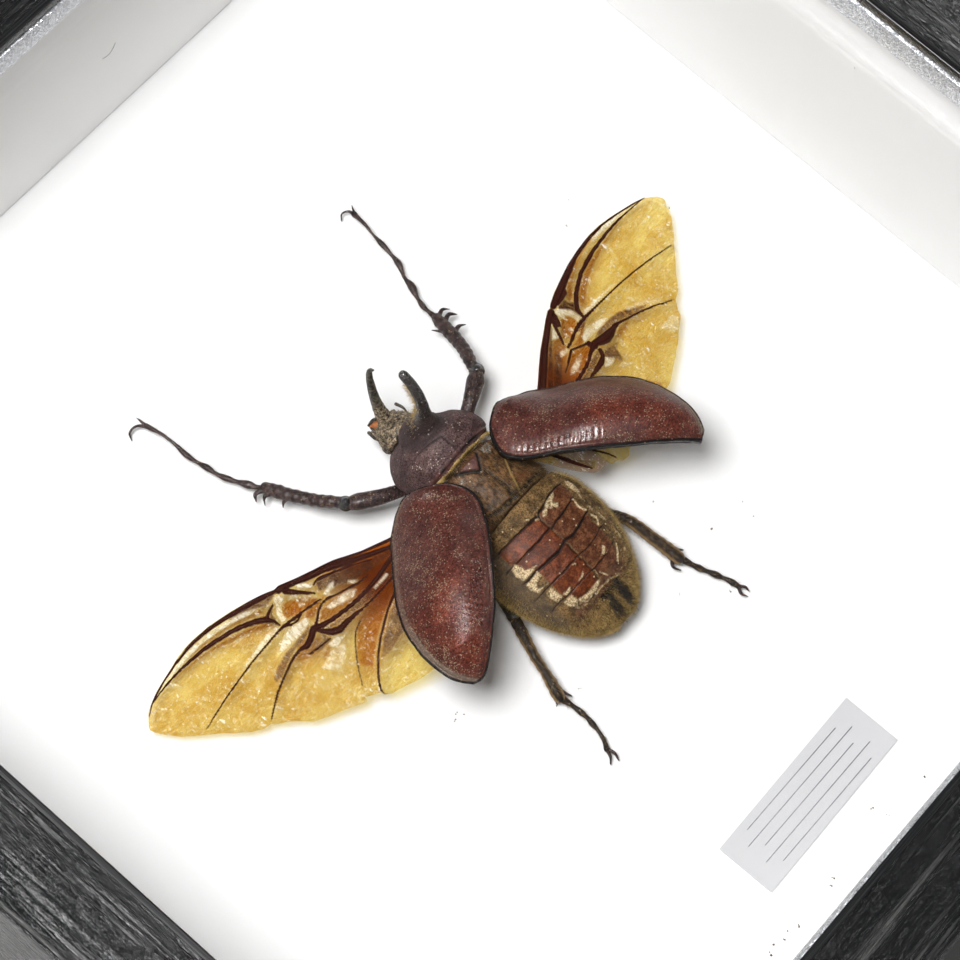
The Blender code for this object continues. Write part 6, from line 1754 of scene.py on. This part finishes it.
def make_elytron(paint, side):
    """A wing case: an arched shell with a raised black rim, rippled and dusty where the lists say."""
    rows, columns = ELYTRON_GRID
    inner, outer = chain(ELYTRON_INNER[side], rows, False), chain(ELYTRON_OUTER[side], rows, False)
    share = np.linspace(0, 1, rows)
    span = np.linalg.norm(outer - inner, axis=1)
    body = ELYTRON_BULGE * np.minimum(1.0, span / 9.0) * np.sin(np.pi * np.clip(share, 0.03, 0.97)) ** 0.35
    t = (1 - np.cos(np.pi * np.linspace(0, 1, columns))) / 2
    lift = body[:, None] * np.sin(np.pi * t) ** 0.9
    rise = np.array((0.12, 0.05, 1.0))
    top = inner[:, None] * (1 - t[:, None]) + outer[:, None] * t[:, None] + lift[..., None] * rise
    across = np.linalg.norm(np.diff(top, axis=1), axis=2)
    from_inner = np.concatenate([np.zeros((rows, 1)), np.cumsum(across, axis=1)], axis=1)
    from_outer = from_inner[:, -1:] - from_inner
    down = np.linalg.norm(np.diff(top, axis=0), axis=2)
    from_root = np.concatenate([np.zeros((1, columns)), np.cumsum(down, axis=0)])
    from_tip = from_root[-1:] - from_root
    facing = np.cross(np.gradient(top, axis=0), np.gradient(top, axis=1))
    facing /= np.maximum(np.linalg.norm(facing, axis=2), 1e-9)[..., None]
    facing *= np.sign(facing[..., 2:3] + 1e-9)
    broad = 1.0 + 1.2 * fade(share, 0.04, 0.3)[:, None]
    edge = np.minimum(np.minimum(from_inner / broad, from_outer), np.minimum(from_tip, from_root * 1.3))
    rim = fade(edge, 0.3, 0.22)
    bead = 0.16 * np.clip(1 - (edge / ELYTRON_RIM - 0.5) ** 2 * 4, 0, 1)
    bead -= 0.1 * np.exp(-(((edge - 0.38) / 0.1) ** 2))
    crease = np.exp(-(((from_outer - 1.25) / 0.25) ** 2)) * fade(share, 0.3, 0.6)[:, None]
    flat = top.reshape(-1, 3)

    def near(lines):
        return highest(fade(strip(flat, line), 1.6, 0.1) for line in lines).reshape(rows, columns)

    along = np.concatenate([[0], np.cumsum(np.linalg.norm(np.diff(inner, axis=0), axis=1))])[:, None]
    swell = bead - 0.1 * crease
    fold = np.exp(-(((from_inner - 0.95) / 0.2) ** 2))
    fold = fold * fade(share, 0.28, 0.4)[:, None] * fade(share, 0.8, 0.6)[:, None]
    swell -= 0.12 * fold
    wavy = 0.8 * fold
    for pitch, height, line in ELYTRON_RIPPLES[side]:
        here = near([line]) * fade(from_inner, 0.75, 1.1)
        bent = 0.22 * from_inner**1.5 + 0.25 * grain(flat, 1.6, 27).reshape(rows, columns)
        swell += height * here * np.sin(2 * np.pi * (along + bent) / pitch)
        wavy = np.maximum(wavy, here * min(1.0, height / 0.045))
    swell += (0.06 * grain(flat, 2.4, 12) + 0.025 * grain(flat, 0.8, 13)).reshape(rows, columns)
    top = top + facing * swell[..., None]
    if side == "left":
        top[..., 0] *= -1
    bottom = top - (0, 0, ELYTRON_THICK)
    clumps = fade(grain(flat, 1.1, 14), -0.25, 0.35).reshape(rows, columns)
    dust = np.exp(-((from_outer / 2.2) ** 2)) * (0.5 + 0.5 * clumps)
    dust = np.maximum(dust, near(ELYTRON_DUST[side]) * (0.25 + 0.75 * clumps))
    dust = np.maximum(dust, 0.3 * clumps) * (1 - rim)
    grey = fade(from_outer, 1.25, 1.0) * (0.25 + 0.5 * fade(share, 0.45, 0.75)[:, None]) * (1 - rim)
    # The red mark holds a painted reddish sheen
    marks = {"rim": rim, "dust": dust, "grey": grey, "red": near(ELYTRON_SHEEN[side]), "wave": wavy}
    shape = plate(top, bottom, side == "left", **marks)
    return piece("elytron_case_" + side, shape, [paint], ["elytron_" + side])


def wing_height(u):
    """The film falls away from its root and levels off towards the tip."""
    return WING_TIP_HEIGHT + WING_DROP * np.exp(-(u - WING_ROOT_U) / WING_DROP_LENGTH)


def make_hindwing(paint, side):
    """A thin film over round veins, creased where it folds, in the outline that the photograph shows."""
    sign = 1 if side == "right" else -1
    rows, columns = WING_GRID
    front, rear = np.array(WING_FRONT[side]), np.array(WING_REAR[side])
    spread = np.linspace(0, 1, rows)
    root, tip = front[0, 0], front[-1, 0]
    closer_midway = spread - 0.1 * np.sin(2 * np.pi * (spread - 0.47)) / 2 - 0.0094
    u = np.clip(root + (tip - root) * closer_midway, root, tip)
    high, low = np.interp(u, *front.T), np.interp(u, *rear.T)
    ragged = 0.08 * grain(np.stack([u, u * 0, u * 0], 1), 0.9, 15 + sign)
    low = low + ragged * fade(u, 22.0, 32.0) * fade(u, 52.2, 51.0)
    t = np.linspace(0, 1, columns)
    v = high[:, None] * (1 - t) + low[:, None] * t
    grid = np.stack([np.broadcast_to(u[:, None], v.shape), v], axis=2).reshape(-1, 2)
    spots = np.concatenate([grid, np.zeros((len(grid), 1))], axis=1)
    dark, relief = np.zeros(len(grid)), np.zeros(len(grid))
    for depth, vein in WING_VEINS[side]:
        ratio = strip(grid, vein)
        dark = np.maximum(dark, depth**0.5 * fade(ratio, 1.2, 0.75))
        relief = np.maximum(relief, depth * np.exp(-(ratio**2)))
    marks = {}
    for colour, fields in WING_FIELDS[side].items():
        marks[colour] = highest(strength * blot(grid, outline, 0.16) for strength, outline in fields)
    dark = np.maximum(dark, marks.get("dark", 0.0))
    near_root = fade(grid[:, 0], 25.5, 19.0) * fade(grid[:, 1], -3.6, -1.6 if side == "left" else -3.0)
    marks["base"] = near_root * (1 - marks["pale"]) * (1 - marks["gold"])
    # The flap under the right wing case is painted a duller, more solid beige-brown, partly painted shade
    # from the wing case above
    flap = fade(grid[:, 0], 14.5, 13.9) * fade(grid[:, 1], -6.0, -8.0) * (side == "right")
    marks["beige"] = flap * (1 - marks["brown"])
    mottled = grain(spots, 0.5, 16) * 0.5 + grain(spots, 1.3, 17)
    marks["brown"] = np.clip(marks["brown"] * (0.85 + 0.4 * mottled), 0, 1) * (1 - dark)
    # Pale patches: partly the film's own, partly painted highlights
    marks["pale"] = np.clip(marks["pale"] * (0.9 + 0.6 * mottled), 0, 1) * (1 - dark)
    marks["dark"] = dark
    relief = 0.12 * relief + 0.08 * grain(spots * (0.6, 1.4, 1), 1.6, 18)
    relief += 0.15 * grain(spots * (0.5, 1.0, 1), 6.0, 19)
    relief += 0.05 * grain(spots * (0.5, 1.5, 1), 0.6, 20) * (1 + marks["brown"] + marks["pale"])
    steps_in = np.minimum(np.arange(columns), np.arange(columns)[::-1])
    edge = steps_in[None, :] * (high - low)[:, None] / columns
    relief = relief * fade(edge.ravel(), -0.1, 0.5)
    height = wing_height(grid[:, 0]) + relief
    top = np.stack([sign * grid[:, 0], grid[:, 1], height + WING_THICK / 2], axis=1)
    top = top.reshape(rows, columns, 3)
    bottom = top - (0, 0, WING_THICK)
    shape = plate(top, bottom, sign < 0, **marks)
    for depth, vein in WING_VEINS[side]:
        line = chain([(*place[:2], 0.0, place[2]) for place in vein], 48)
        lifted = wing_height(line[:, 0]) + 0.12
        line = np.stack([sign * line[:, 0], line[:, 1], lifted, line[:, 3] * 0.7], axis=1)
        shape.add(*tube(line, 8, 0.75), dark=depth**0.5)
    return piece("hindwing_film_" + side, shape, [paint], ["hindwing_" + side])


def make_leg(paint, name):
    """Thigh, shin and foot as tapering limbs with a knob at the knee, and their teeth and claws."""
    parts = LEGS[name]
    shape = Shape()
    for key, count, sides in (("femur", 50, 24), ("tibia", 70, 24), ("tarsus", 110, 14)):
        line = chain(parts[key], count)
        if key == "tibia":
            line[:, 3] *= 1 + 0.05 * np.sin(np.arange(count) * 0.9)
        lining = np.zeros(len(line) + 6)
        if key == "tibia" and "front" not in name:
            lining = np.concatenate([[0, 0, 0], fade(np.linspace(0, 1, count), 0.15, 0.35), [1, 1, 1]])
        wales = np.clip(np.sin(3 * np.linspace(0, 2 * np.pi, sides, endpoint=False) + 0.6), 0, 1) ** 2
        black = 0.0 if "front" in name else 0.85
        shape.add(*tube(line, sides, 0.9), tan=np.outer(lining, wales).ravel(), black=black)
    u, v, h = parts["femur"][-1][:3]
    size = 1.12 if "front" in name else 0.9
    knob = [(u, v, h, size * 0.9), (u, v, h + 0.2, size), (u, v, h + 0.4, size * 0.7)]
    shape.add(*tube(knob, 20), knee=1.0)
    for spike in parts["spikes"]:
        shape.add(*tube(chain(spike, 16), 10))
    normals = normals_of(shape)
    amount = 0.04 * grain(shape.points, 0.45, 21) + 0.07 * grain(shape.points, 1.4, 22)
    shape.points += normals * amount[:, None]
    shape.points += LEG_SHIFTS.get(name, (0.0, 0.0, 0.0))
    return piece(name + "_limb", shape, [paint], [name])


def make_body_hair(golden, dusky, draw):
    """Golden fuzz round the abdomen with two black tufts, a matted back and a bearded head."""
    body = hull_of(ABDOMEN_RINGS, 60, 72, BODY_KEEL)

    def around(centres, normals):
        v, rise = centres[:, 1], normals[:, 2]
        rear = fade(v, -22.0, -26.0)
        return (fade(rise, 0.75, 0.1) + 0.7 * rear) * fade(rise, -0.9, -0.3) * fade(v, -7.0, -9.0)

    roots, facing = scatter(body, HAIRS["fuzz"], around, draw)
    lean = facing + (0, -0.45, 0.1)
    far = 1 + 0.5 * fade(roots[:, 0], 2.0, 7.0) + 0.2 * fade(roots[:, 1], -20.0, -25.0)
    lengths = far * draw.uniform(0.3, 0.55, len(roots))
    fuzz = Shape().add(*strands(roots, lean, lengths, 0.013, draw, bent=False))
    fuzz.points += ABDOMEN_SHIFT
    piece("abdomen_fuzz", fuzz, [golden])

    tufts = Shape()
    many = HAIRS["tuft"]
    stations = np.array(ABDOMEN_RINGS)
    for place in TUFTS:
        spots = draw.normal(size=(many, 2)) * (0.34, 0.85) + place
        height = np.interp(-spots[:, 1], -stations[:, 0], stations[:, 3])
        roots = np.stack([spots[:, 0], spots[:, 1], height - 0.05], axis=1)
        lean = 0.3 * draw.normal(size=many), -0.9 + 0.2 * draw.normal(size=many), np.full(many, 0.7)
        ways = np.stack(lean, axis=1)
        tufts.add(*strands(roots, ways, draw.uniform(0.5, 1.0, many), 0.035, draw, 0.2))
    black = hair("black_hair", (0.008, 0.006, 0.005), (0.02, 0.014, 0.01))
    piece("abdomen_tufts", tufts, [black])

    back = hull_of(THORAX_RINGS, 40, 60, BODY_KEEL)

    def coated(centres, normals):
        return fade(normals[:, 2], -0.2, 0.5) * fade(centres[:, 1], -0.5, -2.0)

    roots, facing = scatter(back, HAIRS["coat"], coated, draw)
    lengths = draw.uniform(0.4, 0.8, len(roots))
    coat = Shape().add(*strands(roots, facing * 0.7 + (0, -1.0, 0), lengths, 0.016, draw, bent=False))
    piece("thorax_hair", coat, [dusky])

    skull = hull_of(HEAD_RINGS, 40, 50, HEAD_KEEL)
    skull.points += SHIELD_SHIFT

    def crown(centres, normals):
        return fade(normals[:, 2], -0.6, 0.4)

    roots, facing = scatter(skull, HAIRS["crown"], crown, draw)
    lengths = draw.uniform(0.2, 0.5, len(roots))
    tuft = Shape().add(*strands(roots, facing * 0.3 + (0, 0.5, 0), lengths, 0.022, draw))
    tan = hair("tan_hair", (0.06, 0.035, 0.015), (0.5, 0.38, 0.2))
    piece("head_hair", tuft, [tan])


def make_shield_hair(golden, draw):
    """A fringe along the shield's hind edge and hairs up the front of its horn."""
    fringe = Shape()
    count = HAIRS["fringe"]
    turn = draw.uniform(0.12, 0.88, count) * np.pi
    wide, margin, top = FRINGE_RING[1:4]
    arch = margin + (top - margin) * np.sin(turn) ** 1.3
    roots = np.stack([wide * np.cos(turn), np.full(count, 2.3), arch - 0.5], axis=1) + SHIELD_SHIFT
    ways = np.tile((0.0, -1.0, -0.25), (count, 1))
    fringe.add(*strands(roots, ways, draw.uniform(0.5, 0.95, count), 0.02, draw, 0.3))
    horn = np.array(PRONOTUM_HORN)
    count = HAIRS["horn"]
    place = draw.uniform(1.4, 6.6, count)
    *centre, reach = (np.interp(place, range(len(horn)), column) for column in horn.T)
    roots = np.stack(centre, axis=1) + SHIELD_SHIFT
    spread = draw.normal(size=count) * 0.5 - 0.7
    ways = np.stack([np.sin(spread), np.cos(spread), np.full(count, -0.25)], axis=1)
    roots = roots + ways * reach[:, None] * 0.8
    fringe.add(*strands(roots, ways, draw.uniform(0.35, 0.85, count), 0.026, draw))
    piece("pronotum_fringe", fringe, [golden])


def make_leg_hair(golden, draw):
    """Tan bristles along the thighs, shins and feet, leaning towards the claws."""
    for name, parts in LEGS.items():
        bristles = Shape()
        for key, many in LEG_HAIRS["front" if "front" in name else "other"].items():
            line = chain(parts[key], 60)
            pick = draw.integers(3, 57, many)
            spin = draw.uniform(0, 2 * np.pi, many)
            ahead = line[pick + 2, :3] - line[pick - 2, :3]
            ahead /= np.linalg.norm(ahead, axis=1)[:, None]
            side = np.cross(ahead, (0.0, 0.0, 1.0))
            side /= np.linalg.norm(side, axis=1)[:, None]
            out = np.cos(spin)[:, None] * side + np.sin(spin)[:, None] * np.cross(side, ahead)
            roots = line[pick, :3] + out * line[pick, 3:4] * 0.9
            lengths = draw.uniform(0.3, 0.9 if key == "tibia" else 0.6, many)
            bristles.add(*strands(roots, out * 0.7 + ahead, lengths, 0.02, draw, bent=False))
        bristles.points += LEG_SHIFTS.get(name, (0.0, 0.0, 0.0))
        piece(name + "_bristles", bristles, [golden])


def make_label_lines():
    """Thin ruled lines on the label, with no words."""
    low, high = (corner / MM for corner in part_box("label"))
    lines = Shape()
    for number in range(LABEL_LINES):
        share = (number + 1) / (LABEL_LINES + 1)
        y = low.y + (high.y - low.y) * share
        half = (high.x - low.x) * (0.4 if number % 2 else 0.34)
        middle = (low.x + high.x) / 2
        left, right, near, far = middle - half, middle + half, y - LINE_HALF, y + LINE_HALF
        spots = [(left, near), (right, near), (right, far), (left, far)]
        under, over = ([(x, way, z) for x, way in spots] for z in (LABEL_TOP, LABEL_TOP + 0.03))
        faces = [(3, 2, 1, 0), (4, 5, 6, 7)] + [(i, (i + 1) % 4, (i + 1) % 4 + 4, i + 4) for i in range(4)]
        lines.add(under + over, faces)
    piece("label_lines", lines, [ruled_ink()], seat=Matrix.Identity(4))


def lump(centre, size, draw):
    """Points and faces of a small uneven grain of dust."""
    turn = np.linspace(0, 2 * np.pi, 7, endpoint=False)
    x, y, z = centre
    points = []
    for wide, height in [(0.6, -0.3), (1.0, 0.0), (0.65, 0.35)]:
        reach = 0.5 * size * wide * draw.uniform(0.7, 1.2, 7)
        level = z + size * height * 0.5
        points += [(x + r * math.cos(a), y + r * math.sin(a), level) for r, a in zip(reach, turn)]
    return points, capped(3, 7)


def make_dust():
    """Brown dust fallen on the board, and a hair and a few specks stuck to the walls."""
    draw = np.random.default_rng(SEED + 1)
    grains = Shape()
    for x, y, size in BOARD_DUST:
        for _ in range(2):
            spot = (x + 0.5 * size * draw.normal(), y + 0.5 * size * draw.normal(), BOARD_TOP + 0.1 * size)
            grains.add(*lump(spot, size * draw.uniform(0.4, 1.0), draw))
    brown = hair("dust", (0.05, 0.03, 0.018), (0.2, 0.13, 0.08))
    piece("board_dust", grains, [brown], seat=Matrix.Identity(4))
    specks = Shape()
    for x, y, z, size in WALL_DUST:
        specks.add(*lump((x, y, z), size, draw))
    specks.add(*tube(chain(WALL_HAIR, 24), 8))
    grey = hair("lint", (0.2, 0.19, 0.18), (0.42, 0.4, 0.38))
    piece("wall_dust", specks, [grey], seat=Matrix.Identity(4))


make_moulding()
make_box()
make_label_lines()
make_dust()
make_room()
make_pronotum(pronotum_paint())
make_head(head_paint())
make_thorax(thorax_paint())
make_abdomen(abdomen_paint())
SHELL, FILM, LIMB = elytra_paint(), wing_paint(), leg_paint()
for wing_side in ("left", "right"):
    make_elytron(SHELL, wing_side)
    make_hindwing(FILM, wing_side)
for leg in LEGS:
    make_leg(LIMB, leg)
DRAW = np.random.default_rng(SEED)
GOLDEN = hair("golden_hair", (0.3, 0.19, 0.055), (0.64, 0.45, 0.16))
make_body_hair(GOLDEN, hair("dusky_hair", (0.05, 0.028, 0.01), (0.26, 0.16, 0.06)), DRAW)
make_shield_hair(GOLDEN, DRAW)
make_leg_hair(hair("leg_hair", (0.16, 0.08, 0.03), (0.5, 0.32, 0.14)), DRAW)
